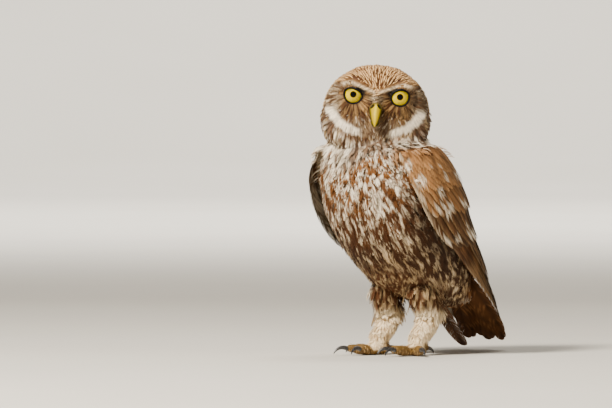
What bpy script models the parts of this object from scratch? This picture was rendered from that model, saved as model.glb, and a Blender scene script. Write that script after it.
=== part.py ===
"""A little owl, life size, standing on its two feet with its head turned to its left.

Metres, +Z up. The breast faces -Y and the bird's left is +X. The origin is on the floor, under
the middle of the bird's bounding box. Sizes are written in millimetres and scaled once, by MM.
Each named object is one closed solid: trunk, neck, head, eyes, lids, bill, wings with their
feathers in tiers, tail, legs, feet and claws.
"""

import math
import random

import bmesh
import bpy
import numpy as np
from mathutils import Matrix, Vector

MM = 0.001
GAP = 0.3  # what pieces that touch keep between them
WELD = 0.003  # points nearer than this are one
SEED = 22

# The whole bird. ORIGIN is the point of the bird's own frame, whose zero is between the feet,
# that becomes the model's origin.
ORIGIN = (0.0, 19.77, 0.0)

# Trunk sections from inside the head to under the tail: the point on the breast line and the
# point on the back line, each as (y, z), and the half width.
TRUNK_SECTIONS = (
    ((-56, 151), (-10, 155), 34),
    ((-63, 144), (-4, 150), 41),
    ((-65, 134), (9, 142), 43.5),
    ((-66, 117), (21, 128), 45),
    ((-61, 98), (31, 113), 46),
    ((-50, 81), (40, 97), 44),
    ((-35, 65), (48, 83), 41),
    ((-19, 52), (55, 71), 36),
    ((0, 43), (61, 61), 29.5),
    ((19, 38), (66.5, 53), 23),
    ((37, 35), (72, 46), 16.5),
    ((53, 33), (77, 40), 9.5),
)
TRUNK_SQUARENESS = 2.15
TRUNK_SIDES = 30
TRUNK_RINGS = 18
NECK_CUT = 1.9  # section at which neck and trunk part
TRUNK_END = 10.9

# The surface that the folded wings lie on: the trunk grown a little, then carried on over the
# sides of the tail.
CLOAK_ROOM = 1.0
CLOAK_FOLLOWS = 6
CLOAK_END = (
    ((-35, 65), (50, 84), 42.5),
    ((-19, 51), (58.5, 74), 40),
    ((-2, 39), (66.5, 65), 36.5),
    ((16, 27), (75, 56), 32.5),
    ((34, 16), (83.5, 47.5), 29),
    ((50, 6), (92, 39), 25.5),
    ((64, -4), (100, 30.5), 22.5),
    ((76, -12), (107.5, 22), 20),
)

# Head, in its own frame: x to the bird's left, -y ahead, z up from its middle.
HEAD_PLACE = (0.0, -34.0, 166.0)
HEAD_TURN, HEAD_TILT, HEAD_NOD = 35.0, 3.4, 0.0
HEAD_HALF_WIDTH = 38.0
HEAD_FRONT, HEAD_BACK = 27.0, 32.0
HEAD_TOP, HEAD_BOTTOM = 36.5, 25.0
HEAD_SQUARENESS, CHEEK_SQUARENESS = 2.2, 2.7
HEAD_RINGS, HEAD_SIDES = 23, 32

# Eyes and lids
EYE_PLACE = (16.6, -14.6, 15.0)
EYE_RADIUS = 8.6
EYE_OUTWARD = 6.0  # each eye looks this far outward, in degrees
CORNEA_BULGE, CORNEA_WIDTH = 0.8, 42.0
EAR_DEPTH = 1.5  # the hollow of each ear, behind the rim of the face
SAUCER_RIM = 8.6  # where the face meets the lids, from the gaze
LID_THICK = 1.1
LID_OPEN, LID_END = 41.0, 68.0  # from the gaze, in degrees
BROW_DROOP = 6.0  # how far the upper lid comes down towards the bill

# Bill, in the head's frame: the point on its ridge and on its cutting edge as (y, z), half width
UPPER_BILL = (
    ((-14, 11.0), (-14, 1.0), 4.3),
    ((-26, 10.8), (-22, 0.4), 4.5),
    ((-32, 9.0), (-26.5, -0.2), 4.3),
    ((-36, 5.2), (-30.5, -1.2), 3.7),
    ((-37.9, 0.6), (-33.3, -2.8), 2.8),
    ((-38.0, -3.4), (-35.3, -4.7), 1.6),
    ((-37.2, -5.9), (-36.6, -6.2), 0.5),
)
LOWER_BILL = (
    ((-14, 0.4), (-14, -5.4), 3.6),
    ((-22.4, -0.4), (-22, -5.8), 3.4),
    ((-26.8, -1.2), (-26.5, -6.0), 3.0),
    ((-30.7, -2.6), (-30.4, -6.1), 2.2),
    ((-33.2, -4.3), (-33.0, -5.9), 1.2),
)
NOSTRIL = (3.7, -30.6, 6.6)
NOSTRIL_RADIUS = 1.15

# Legs: the left one; the right one mirrors it
HIP = (15.0, 1.0, 62.0)
KNEE = (16.0, -2.0, 46.5)
ANKLE = (17.0, 10.5, 29.5)
FOOT = (16.5, -10.0, 9.0)
THIGH_RADII = (13.0, 11.0, 9.2)
SHANK_RADII = (9.0, 8.6, 7.0)
LEG_SIDES = 14
HEEL_CAP = ((1.8, 0.9), (3.2, 0.7), (4.1, 0.4))  # how the heel rounds off: rise, share of the radius
FOOT_TURN = -20.0  # both feet point this far to the bird's right
BALL_RADII = (6.2, 6.8, 5.4)
BALL_HEIGHT = 4.6
TOES = (
    # name, direction from straight ahead, bone length, claw arc radius
    ("inner", 17.0, 15.0, 7.4),
    ("middle", -14.0, 18.5, 7.6),
    ("outer", -72.0, 14.0, 6.8),
    ("hind", 172.0, 9.0, 6.2),
)
TOE_RADII = (4.4, 3.7, 3.9, 3.2, 2.7)
TOE_HEIGHTS = (4.4, 3.35, 3.4, 4.4, 4.4)
CLAW_RADIUS = 1.75
CLAW_RISE, CLAW_DIP = 22.0, -74.0  # the claw's direction at its root and at its tip

# Feathers
VANE_THICK = 0.55
LAYER = 0.9  # a vane and the air under it
TAIL_ROOT = (0.0, 59.0, 68.0)
TAIL_DOWN = 49.5  # slope of the tail below the horizontal
TAIL_FEATHERS = 12
TAIL_LENGTH, TAIL_HALF_WIDTH = 73.0, 7.0
TAIL_FAN = 2.05  # degrees between neighbours
TAIL_ROOT_STEP = 1.15
LOOSE_FEATHER_FAN = -15.5
LOOSE_FEATHER_EXTRA, LOOSE_FEATHER_DROOP = 8.0, 4.5


def through(values, at):
    """The smooth curve through evenly spaced values, at a place counted in values."""
    values = np.asarray(values, float)
    last = len(values) - 1
    i = int(min(max(math.floor(at), 0), last - 1))
    t = at - i
    before, start = values[max(i - 1, 0)], values[i]
    end, after = values[i + 1], values[min(i + 2, last)]
    m0, m1 = (end - before) / 2, (after - start) / 2
    if i == 0:
        m0 = end - start
    if i == last - 1:
        m1 = end - start
    return (
        (2 * t**3 - 3 * t**2 + 1) * start
        + (t**3 - 2 * t**2 + t) * m0
        + (3 * t**2 - 2 * t**3) * end
        + (t**3 - t**2) * m1
    )


def bump(distance, width):
    """A soft hill of height 1 at distance 0."""
    return math.exp(-((distance / width) ** 2))


def step(low, high, x):
    """0 below low and 1 above high, smooth between them. Low may be the larger."""
    t = min(max((x - low) / (high - low), 0.0), 1.0)
    return t * t * (3 - 2 * t)


class Sections:
    """A body given by sections across a line in the plane x = 0."""

    def __init__(self, table, squareness=2.0):
        self.front = np.array([row[0] for row in table], float)
        self.back = np.array([row[1] for row in table], float)
        self.half = np.array([row[2] for row in table], float)
        self.power = 2.0 / squareness

    def on(self, s, angle, grow=0.0):
        """The point of section s at an angle in degrees: 0 is the front, 90 the bird's left."""
        front, back = through(self.front, s), through(self.back, s)
        middle, depth = (front + back) / 2, (back - front) / 2
        reach = np.linalg.norm(depth)
        a = math.radians(angle)
        across = math.copysign(abs(math.sin(a)) ** self.power, math.sin(a))
        along = -math.copysign(abs(math.cos(a)) ** self.power, math.cos(a))
        y, z = middle + depth * along * (reach + grow) / reach
        return Vector(((through(self.half, s) + grow) * across, y, z))

    def lifted(self, s, angle, lift):
        """The point of section s at an angle, moved off the surface by lift."""
        here = self.on(s, angle)
        along = self.on(s + 0.05, angle) - self.on(s - 0.05, angle)
        around = self.on(s, angle + 1.0) - self.on(s, angle - 1.0)
        return here + around.cross(along).normalized() * -lift

    def scale(self, s, angle):
        """Millimetres for each section, and for each degree, at a place."""
        along = (self.on(s + 0.1, angle) - self.on(s - 0.1, angle)).length / 0.2
        around = (self.on(s, angle + 2.0) - self.on(s, angle - 2.0)).length / 4.0
        return along, around

    def rings(self, start, end, count, sides, grow=0.0):
        """Rings of points from section start to section end."""
        return [
            [
                self.on(start + (end - start) * k / (count - 1), 360.0 * j / sides, grow)
                for j in range(sides)
            ]
            for k in range(count)
        ]


def made(name, points, faces):
    """A mesh object from points in millimetres, with its faces turned outwards."""
    mesh = bpy.data.meshes.new(name)
    mesh.from_pydata([Vector(p) * MM for p in points], [], faces)
    shape = bmesh.new()
    shape.from_mesh(mesh)
    bmesh.ops.recalc_face_normals(shape, faces=shape.faces)
    if shape.calc_volume(signed=True) < 0:
        bmesh.ops.reverse_faces(shape, faces=shape.faces)
    shape.to_mesh(mesh)
    shape.free()
    obj = bpy.data.objects.new(name, mesh)
    bpy.context.scene.collection.objects.link(obj)
    return obj


def loft(name, rings, point_end=None):
    """A closed body through rings of equally many points, with flat ends or one pointed end."""
    sides = len(rings[0])
    points = [p for ring in rings for p in ring]
    faces = []
    for k in range(len(rings) - 1):
        for j in range(sides):
            a, b = k * sides + j, k * sides + (j + 1) % sides
            faces.append((a, b, b + sides, a + sides))
    faces.append(tuple(range(sides)))
    last = (len(rings) - 1) * sides
    if point_end is None:
        faces.append(tuple(range(last + sides - 1, last - 1, -1)))
    else:
        points.append(point_end)
        tip = len(points) - 1
        faces += [(last + j, last + (j + 1) % sides, tip) for j in range(sides)]
    return made(name, points, faces)


def radial(name, axis_rings, sides, radius):
    """A closed body about its own middle. radius(direction) gives how far it reaches; rings
    run from the front pole at -y to the back pole, at the angles given."""
    points = [Vector((0, -1, 0))]
    for polar in axis_rings:
        for j in range(sides):
            turn = 2 * math.pi * j / sides
            points.append(
                Vector(
                    (
                        math.sin(polar) * math.sin(turn),
                        -math.cos(polar),
                        math.sin(polar) * math.cos(turn),
                    )
                )
            )
    points.append(Vector((0, 1, 0)))
    placed = [radius(p) for p in points]
    faces = [(0, 1 + (j + 1) % sides, 1 + j) for j in range(sides)]
    for k in range(len(axis_rings) - 1):
        for j in range(sides):
            a, b = 1 + k * sides + j, 1 + k * sides + (j + 1) % sides
            faces.append((a, b, b + sides, a + sides))
    last = 1 + (len(axis_rings) - 1) * sides
    end = len(points) - 1
    faces += [(last + j, last + (j + 1) % sides, end) for j in range(sides)]
    return made(name, placed, faces)


def tube_rings(path, radii, sides):
    """Rings across a path of points. A radius may be a pair: across, and up."""
    rings = []
    for k, point in enumerate(path):
        ahead = Vector(path[min(k + 1, len(path) - 1)]) - Vector(path[max(k - 1, 0)])
        ahead.normalize()
        side = ahead.cross(Vector((0, 0, 1)))
        if side.length < 0.2:
            side = Vector((1, 0, 0))
        side.normalize()
        up = side.cross(ahead)
        wide, high = radii[k] if isinstance(radii[k], tuple) else (radii[k], radii[k])
        ring = []
        for j in range(sides):
            a = 2 * math.pi * (j + 0.5) / sides
            ring.append(Vector(point) + side * wide * math.cos(a) + up * high * math.sin(a))
        rings.append(ring)
    return rings


def curve_points(points, count):
    """Points at even steps on the smooth curve through a few points."""
    last = len(points) - 1
    return [Vector(through(points, last * k / (count - 1))) for k in range(count)]


def use(obj, operation, other, solver="EXACT"):
    """Joins or cuts with another object, or with a collection of them, and applies it."""
    bpy.context.view_layer.update()
    cut = obj.modifiers.new(operation.lower(), "BOOLEAN")
    cut.operation = operation
    cut.solver = solver
    if isinstance(other, bpy.types.Collection):
        cut.operand_type = "COLLECTION"
        cut.collection = other
    else:
        cut.object = other
    graph = bpy.context.evaluated_depsgraph_get()
    result = bpy.data.meshes.new_from_object(obj.evaluated_get(graph))
    obj.modifiers.clear()
    obj.data = result
    shape = bmesh.new()
    shape.from_mesh(result)
    bmesh.ops.remove_doubles(shape, verts=shape.verts, dist=WELD * MM)
    bmesh.ops.dissolve_degenerate(shape, edges=shape.edges, dist=WELD * MM)
    shape.to_mesh(result)
    shape.free()
    return obj


def removed(*objects):
    """Takes finished cutters and pieces out of the file."""
    for obj in objects:
        bpy.data.objects.remove(obj)


def cut_by(obj, *cutters):
    """Cuts one object by several and keeps its largest closed surface."""
    for cutter in cutters:
        use(obj, "DIFFERENCE", cutter)
    return largest(obj)


def under_face(face):
    """The signed volume between a face and the origin."""
    first, *rest = [v.co for v in face.verts]
    return sum(first.dot(a.cross(b)) for a, b in zip(rest, rest[1:])) / 6


def largest(obj):
    """Keeps only the closed surface that holds the most."""
    shape = bmesh.new()
    shape.from_mesh(obj.data)
    left = set(shape.verts)
    bodies = []
    while left:
        reached = {left.pop()}
        edge = list(reached)
        while edge:
            found = {e.other_vert(v) for v in edge for e in v.link_edges} - reached
            reached |= found
            edge = list(found)
        left -= reached
        faces = {f for v in reached for f in v.link_faces}
        bodies.append((sum(under_face(f) for f in faces), reached))
    bodies.sort(key=lambda body: body[0], reverse=True)
    for _, points in bodies[1:]:
        bmesh.ops.delete(shape, geom=list(points), context="VERTS")
    shape.to_mesh(obj.data)
    shape.free()
    return obj


def joined(name, pieces):
    """One closed body from several that overlap."""
    body = pieces[0]
    body.name = name
    rest = bpy.data.collections.new(name + "_pieces")
    bpy.context.scene.collection.children.link(rest)
    for piece in pieces[1:]:
        bpy.context.scene.collection.objects.unlink(piece)
        rest.objects.link(piece)
    use(body, "UNION", rest, "MANIFOLD")
    removed(*pieces[1:])
    bpy.data.collections.remove(rest)
    return largest(body)


def mirrored(name, obj):
    """A copy on the bird's other side."""
    copy = bpy.data.objects.new(name, obj.data.copy())
    copy.data.transform(Matrix.Scale(-1, 4, (1, 0, 0)))
    copy.data.flip_normals()
    bpy.context.scene.collection.objects.link(copy)
    return copy


# Trunk and neck


def trunk_cap(trunk, grow=0.0):
    """The pointed end of the trunk, under the tail."""
    front, back = trunk.on(TRUNK_END, 0, grow), trunk.on(TRUNK_END, 180, grow)
    return (front + back) / 2 + Vector((0, 2.6 + grow, -2.6 - grow))


def neck_gap(trunk):
    """The gap between neck and trunk, counted in sections."""
    return GAP / min(trunk.scale(NECK_CUT, 0)[0], trunk.scale(NECK_CUT, 180)[0])


def torso(trunk, name="torso", grow=0.0):
    """The trunk below the neck, or the room that it takes up."""
    start = NECK_CUT - neck_gap(trunk) * grow / GAP
    rings = trunk.rings(start, TRUNK_END, TRUNK_RINGS, TRUNK_SIDES, grow)
    return loft(name, rings, point_end=trunk_cap(trunk, grow))


def neck(trunk, head_room):
    """The collar between head and trunk, hollowed where the head sits in it."""
    rings = trunk.rings(0.0, NECK_CUT - neck_gap(trunk), 5, TRUNK_SIDES)
    return cut_by(loft("neck", rings), head_room)


# Head, eyes and bill


def head_point(direction, grow=0.0):
    """The head's surface: a broad dome with a flat face, brows, eye bowls and disc rims."""
    x, y, z = direction
    p = HEAD_SQUARENESS + (CHEEK_SQUARENESS - HEAD_SQUARENESS) * step(0.1, -0.4, z)
    ahead = HEAD_FRONT if y < 0 else HEAD_BACK
    upward = HEAD_TOP if z > 0 else HEAD_BOTTOM
    reach = (
        abs(x / HEAD_HALF_WIDTH) ** p + abs(y / ahead) ** p + abs(z / upward) ** p
    ) ** (-1 / p)
    point = Vector(direction) * reach
    face = step(-4, -13, point.y)
    side, up = abs(point.x), point.z
    off_gaze = math.hypot(side - EYE_PLACE[0], up - EYE_PLACE[2])
    saucer = EYE_PLACE[1] - 4.6 + math.tan(math.radians(EYE_OUTWARD)) * (side - EYE_PLACE[0])
    saucer -= 0.22 * (off_gaze - SAUCER_RIM)
    point.y += (saucer - point.y) * step(17.5, 9.5, off_gaze) * face
    brow_line = EYE_PLACE[2] + 1.6 + 0.40 * min(side, 18.0) - 0.1 * max(side - 18.0, 0.0)
    brow = bump(up - brow_line, 2.6) * step(0, 6, side) * step(31, 22, side)
    bridge = bump(side, 4.6) * step(-10, -3, up) * step(20, 13, up)
    cheek = bump(side - 20, 8.0) * bump(up + 7, 7.0)
    chin = bump(side, 9.0) * bump(up + 15, 6.5)
    point.y -= (2.9 * brow + 1.8 * bridge + 1.4 * cheek + 1.6 * chin) * face
    rim = math.hypot((side - 13) / 21.5, (up - 4) / 24.0)
    outward = 1.3 * bump(rim - 1.0, 0.09) - EAR_DEPTH * bump(rim - 1.2, 0.085)
    outward *= step(14, 24, side) * step(10, -2, point.y)
    return point + Vector(direction) * (outward + grow)


def head_rings():
    """Ring angles, closer together on the face."""
    last = HEAD_RINGS + 1
    return [math.pi * (k / last) ** 1.25 for k in range(1, HEAD_RINGS + 1)]


def head_body(name, grow=0.0):
    """The head, or the room that it takes up."""
    return radial(name, head_rings(), HEAD_SIDES, lambda d: head_point(d, grow))


def gaze(side):
    """From an eye's frame, where it looks along -y, to the head's."""
    x, y, z = EYE_PLACE
    turn = Matrix.Rotation(math.radians(side * EYE_OUTWARD), 4, "Z")
    return Matrix.Translation(Vector((side * x, y, z)) * MM) @ turn


def eye(name, side):
    """An eyeball with its clear bulge in front."""

    def reach(d):
        off = math.degrees(math.acos(max(-1.0, min(1.0, -d.y))))
        return d * (EYE_RADIUS + CORNEA_BULGE * step(CORNEA_WIDTH, 12, off))

    rings = [math.pi * (k / 11) ** 1.15 for k in range(1, 11)]
    ball = radial(name, rings, 16, reach)
    ball.data.transform(gaze(side))
    return ball


def socket(side):
    """The room in the head for an eyeball and its lids."""
    outer = EYE_RADIUS + 2 * GAP + LID_THICK

    def reach(d):
        off = math.degrees(math.acos(max(-1.0, min(1.0, -d.y))))
        return d * (outer if off < LID_END + 3.0 else EYE_RADIUS + 2 * GAP)

    steps = [12, 32, 52, LID_END + 2.2, LID_END + 3.8, 92, 114, 136, 158]
    room = radial("socket", [math.radians(a) for a in steps], 22, reach)
    room.data.transform(gaze(side))
    return room


def lids(name, side):
    """The ring of lid round an eye, lower at the brow."""
    sides = 24
    inner, outer = EYE_RADIUS + GAP + 0.4, EYE_RADIUS + GAP + LID_THICK
    rows = []
    for j in range(sides):
        turn = 2 * math.pi * j / sides
        toward_bill = -side * math.sin(turn)
        droop = BROW_DROOP * max(0.0, math.cos(turn - side * -0.35)) ** 2
        edge = LID_OPEN - droop - 1.5 * max(0.0, toward_bill)
        row = []
        for polar, reach in (
            (edge, inner + 0.35),
            (LID_END, outer - 0.3),
            (LID_END, inner - 0.1),
            (edge + 2, inner - 0.1),
        ):
            a = math.radians(polar)
            row.append(
                Vector(
                    (
                        math.sin(a) * math.sin(turn) * reach,
                        -math.cos(a) * reach,
                        math.sin(a) * math.cos(turn) * reach,
                    )
                )
            )
        middle = math.radians((edge + LID_END) / 2 - 6)
        row.insert(
            1,
            Vector(
                (
                    math.sin(middle) * math.sin(turn) * outer,
                    -math.cos(middle) * outer,
                    math.sin(middle) * math.cos(turn) * outer,
                )
            ),
        )
        rows.append(row)
    wide = len(rows[0])
    points = [p for row in rows for p in row]
    faces = []
    for j in range(sides):
        for k in range(wide):
            a, b = j * wide + k, ((j + 1) % sides) * wide + k
            c, d = ((j + 1) % sides) * wide + (k + 1) % wide, j * wide + (k + 1) % wide
            faces.append((a, b, c, d))
    ring = made(name, points, faces)
    ring.data.transform(gaze(side))
    return ring


def bill_half(name, table):
    """One half of the bill, pointed at its end."""
    half = Sections(table, 2.0)
    last = len(table) - 1
    rings = half.rings(0.0, last, 2 * last + 1, 12)
    middle, before = ((half.on(s, 0) + half.on(s, 180)) / 2 for s in (last, last - 0.2))
    return loft(name, rings, middle + (middle - before).normalized() * 0.5)


def ball_at(name, place, radii, sides=12):
    """An egg-shaped body at a place."""
    rings = [math.pi * k / 8 for k in range(1, 8)]
    middle, size = Vector(place), Vector(radii)
    return radial(name, rings, sides, lambda d: middle + d * size)


def build_head(trunk):
    """Head, eyes, lids, bill and neck. All but the neck are cut in the head's own frame and
    then turned together."""
    turn = bpy.data.objects.new("head_turn", None)
    bpy.context.scene.collection.objects.link(turn)
    turn.location = Vector(HEAD_PLACE) * MM
    turn.rotation_euler = [math.radians(a) for a in (HEAD_NOD, HEAD_TILT, HEAD_TURN)]
    head = head_body("head")
    head_room = head_body("head_room", GAP * 2)
    upper = bill_half("bill_upper", UPPER_BILL)
    lower = bill_half("bill_lower", LOWER_BILL)
    nodes = [head, upper, lower]
    for side, word in ((1, "left"), (-1, "right")):
        room = socket(side)
        use(head, "DIFFERENCE", room)
        removed(room)
        nodes.append(eye(f"eye_{word}", side))
        nodes.append(lids(f"eyelids_{word}", side))
    largest(head)
    pits = [
        ball_at("nostril", (side * NOSTRIL[0], *NOSTRIL[1:]), (NOSTRIL_RADIUS,) * 3, 8)
        for side in (1, -1)
    ]
    cut_by(upper, head_room, *pits)
    cut_by(lower, head_room)
    for node in nodes:
        node.parent = turn
    head_room.parent = turn
    collar = neck(trunk, head_room)
    removed(head_room, *pits)
    return turn, [collar, *nodes]


# Legs and feet


def leg(side, torso_room):
    """Thigh, shank, foot and claws of one leg."""
    word = "left" if side > 0 else "right"

    def at(point):
        return Vector((side * point[0], point[1], point[2]))

    thigh_path = curve_points([at(HIP), at(KNEE), at(ANKLE)], 8)
    thigh_radii = [float(through(THIGH_RADII, 2 * k / 7)) for k in range(8)]
    thigh = loft(f"thigh_{word}", tube_rings(thigh_path, thigh_radii, LEG_SIDES))
    shank_top = at(ANKLE) + Vector((0, 1.5, 1.5))
    shank_middle = (at(ANKLE) + at(FOOT)) / 2 + Vector((0, 2, -1))
    shank_path = curve_points([shank_top, shank_middle, at(FOOT)], 7)
    shank_radii = [float(through(SHANK_RADII, 2 * k / 6)) for k in range(7)]
    heel = (shank_path[0] - shank_path[1]).normalized()
    for rise, share in HEEL_CAP:
        shank_path.insert(0, shank_top + heel * rise)
        shank_radii.insert(0, SHANK_RADII[0] * share)
    shank = loft(f"shank_{word}", tube_rings(shank_path, shank_radii, LEG_SIDES))
    grown = [r + GAP for r in shank_radii]
    shank_room = loft("shank_room", tube_rings(shank_path, grown, LEG_SIDES))
    room_points = shank_room.data.vertices
    top_end, low_end = room_points[:LEG_SIDES], room_points[-LEG_SIDES:]
    for end, outward in (
        (top_end, shank_path[0] - shank_path[1]),
        (low_end, shank_path[-1] - shank_path[-2]),
    ):
        for v in end:
            v.co += outward.normalized() * GAP * MM
    cut_by(thigh, torso_room, shank_room)
    cut_by(shank, torso_room)
    foot, claws = foot_and_claws(side, word, shank_room)
    removed(shank_room)
    return [thigh, shank, foot, *claws]


def foot_and_claws(side, word, shank_room):
    """A foot of four toes that lies flat on the floor, and its claws."""
    facing = math.radians(FOOT_TURN)
    ball_place = Vector((side * FOOT[0], FOOT[1] - 1.0, BALL_HEIGHT))
    pieces = [ball_at(f"foot_{word}", ball_place, BALL_RADII, sides=16)]
    claws = []
    for name, away, length, arc in TOES:
        heading = facing - side * math.radians(away)
        ahead = Vector((math.sin(heading), -math.cos(heading), 0))
        steps = len(TOE_RADII) - 1
        path = [
            ball_place * 1.0 + ahead * (length * k / steps + 2.0 * (k > 0))
            for k in range(steps + 1)
        ]
        for point, height in zip(path, TOE_HEIGHTS):
            point.z = height
        toe = loft("toe", tube_rings(path, TOE_RADII, 10))
        pieces.append(toe)
        claws.append(claw(f"claw_{name}_{word}", path[-1], ahead, arc))
    foot = joined(f"foot_{word}", pieces)
    floor = box("floor", (-200, -200, -50), (200, 200, 0))
    cut_by(foot, floor, shank_room)
    removed(floor)
    return foot, claws


def claw(name, root, ahead, arc):
    """A hooked claw from the end of a toe to the floor."""
    steps = 6
    path = [Vector(root) + ahead * (GAP + 0.05)]
    for k in range(1, steps + 1):
        dip = math.radians(CLAW_RISE + (CLAW_DIP - CLAW_RISE) * (k - 0.5) / steps)
        length = arc * math.radians(CLAW_RISE - CLAW_DIP) / steps
        path.append(path[-1] + (ahead * math.cos(dip) + Vector((0, 0, math.sin(dip)))) * length)
    drop = path[-1].z - 0.25
    for k, point in enumerate(path):
        point.z -= drop * k / steps
    radii = [(CLAW_RADIUS * (1 - 0.86 * (k / steps) ** 1.3)) for k in range(steps)]
    rings = tube_rings(path, radii + [0.1], 8)[:-1]
    straight = [
        path[0] + (p - path[0]) - ahead * (p - path[0]).dot(ahead) for p in rings[0]
    ]
    return loft(name, [straight, *rings[1:]], point_end=path[-1])


def box(name, low, high):
    """A plain block between two corners."""
    (x0, y0, z0), (x1, y1, z1) = low, high
    points = [(x, y, z) for z in (z0, z1) for y in (y0, y1) for x in (x0, x1)]
    faces = [(0, 1, 3, 2), (4, 6, 7, 5), (0, 4, 5, 1), (2, 3, 7, 6), (0, 2, 6, 4), (1, 5, 7, 3)]
    return made(name, points, faces)


# Feathers

PRIMARY_ROWS = (0.0, 0.22, 0.44, 0.66, 0.83, 0.95, 1.0)
LONG_ROWS = (0.0, 0.4, 0.74, 0.93, 1.0)
SHORT_ROWS = (0.0, 0.5, 0.86, 1.0)


def vane_width(t):
    """How wide a feather is along its length, as a share of its widest."""
    return (0.55 + 0.45 * step(0.0, 0.45, t)) * math.sqrt(max(0.06, 1 - max(0.0, (t - 0.62) / 0.385) ** 2.4))


def vane(place, rows, half_width):
    """A thin closed plate. place(t, across, lift) gives the point at a share of the length,
    so many millimetres to a side and off the surface. Both faces are split alike."""
    points = []
    for face in (0.5, -0.5):
        for t in rows:
            thick = VANE_THICK * (1.0 - 0.35 * t)
            for side in (-1, 0, 1):
                points.append(place(t, side * half_width * vane_width(t), thick * face))
    count = len(rows)
    under = 3 * count
    faces = []
    for k in range(count - 1):
        for side in range(2):
            a = 3 * k + side
            b, c, d = a + 1, a + 4, a + 3
            faces += [(a, b, c), (a, c, d)]
            faces += [(under + a, under + c, under + b), (under + a, under + d, under + c)]
        for side in (0, 2):
            a, b = 3 * k + side, 3 * k + 3 + side
            faces += [(a, b, under + b), (a, under + b, under + a)]
    for k in (0, count - 1):
        for side in range(2):
            a, b = 3 * k + side, 3 * k + side + 1
            faces += [(a, b, under + b), (a, under + b, under + a)]
    return made("vane", points, faces)


def tail(torso_room):
    """Twelve tail feathers under short coverts. The outermost on the right hangs loose."""
    slope = math.radians(TAIL_DOWN)
    along = Vector((0, math.cos(slope), -math.sin(slope)))
    off = Vector((0, math.sin(slope), math.cos(slope)))
    root = Vector(TAIL_ROOT)
    draw = random.Random(SEED)
    pieces = [tail_root(root, along, off)]
    middle = (TAIL_FEATHERS - 1) / 2
    for i in range(TAIL_FEATHERS):
        rank = i - middle
        loose = i == 0
        fan = math.radians(LOOSE_FEATHER_FAN if loose else rank * TAIL_FAN)
        length = TAIL_LENGTH - 0.18 * rank**2 + draw.uniform(-1.2, 1.2)
        start = 4.0 + draw.uniform(-0.6, 0.6)
        if loose:
            length += LOOSE_FEATHER_EXTRA
        depth = -LAYER * (abs(rank) - 0.5) - (0.45 if rank > 0 else 0.0)
        droop = LOOSE_FEATHER_DROOP if loose else 0.0

        def place(t, across, lift, rank=rank, fan=fan, start=start, end=length, depth=depth, droop=droop):
            go = start + (end - start) * t
            x = rank * TAIL_ROOT_STEP + go * math.sin(fan) + across * math.cos(fan)
            y = go * math.cos(fan) - across * math.sin(fan)
            bend = 1.2 * math.sin(math.pi * t) - droop * t * t - abs(across) * 0.05
            return root + Vector((x, 0, 0)) + along * y + off * (depth + bend + lift)

        width = TAIL_HALF_WIDTH - 0.12 * abs(rank)
        pieces.append(vane(place, LONG_ROWS, width))
    coverts = 7
    for i in range(coverts):
        rank = i - (coverts - 1) / 2

        start = -1.0 + draw.uniform(-0.5, 0.5)

        def place(t, across, lift, rank=rank, start=start):
            go = start + (24.0 - 1.1 * abs(rank)) * t
            fan = math.radians(4.2 * rank)
            x = rank * 3.6 + go * math.sin(fan) + across
            rise = 1.2 + 1.5 * t + 0.45 * (3 - abs(rank)) + 0.12 * (rank > 0) + lift
            return root + Vector((x, 0, 0)) + along * go + off * rise

        pieces.append(vane(place, SHORT_ROWS, 5.0))
    body = joined("tail", pieces)
    return cut_by(body, torso_room)


def tail_root(root, along, off):
    """The fleshy base that the tail feathers grow from."""
    rings = []
    for t, wide, thick, low in ((0.0, 9.0, 3.2, -3.2), (0.5, 9.5, 2.6, -2.4), (1.0, 8.0, 1.3, -1.8)):
        middle = root + along * (-4.0 + 22.0 * t) + off * low
        rings.append(
            [
                middle + Vector((wide * math.cos(a), 0, 0)) + off * thick * math.sin(a)
                for a in (2 * math.pi * (j + 0.5) / 14 for j in range(14))
            ]
        )
    return loft("tail_root", rings)


# Where the folded wing's lower and upper edges lie on the cloak, in degrees, at each section
WING_LOW = (50, 51, 54, 62, 71, 77, 83, 90, 98, 107, 117, 128, 139, 147)
WING_HIGH = (96, 106, 120, 135, 148, 157, 163, 167, 169, 170, 169, 168, 167, 166)
SHINGLE = 0.7  # how far a vane's lower edge stands above its middle
PAD_START, PAD_LENGTH, PAD_LIFT, PAD_THICK = 1.1, 4.1, 0.55, 2.4


def wing_cloak():
    """The surface that the folded wings lie on."""
    rows = []
    for (y0, z0), (y1, z1), half in TRUNK_SECTIONS[:CLOAK_FOLLOWS]:
        rows.append(((y0 - CLOAK_ROOM, z0), (y1 + CLOAK_ROOM, z1), half + CLOAK_ROOM))
    return Sections((*rows, *CLOAK_END), TRUNK_SQUARENESS)


def wing_angle(s, share):
    """The angle on the cloak at a share of the way up the folded wing."""
    low, high = float(through(WING_LOW, s)), float(through(WING_HIGH, s))
    return low + (high - low) * share


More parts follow.
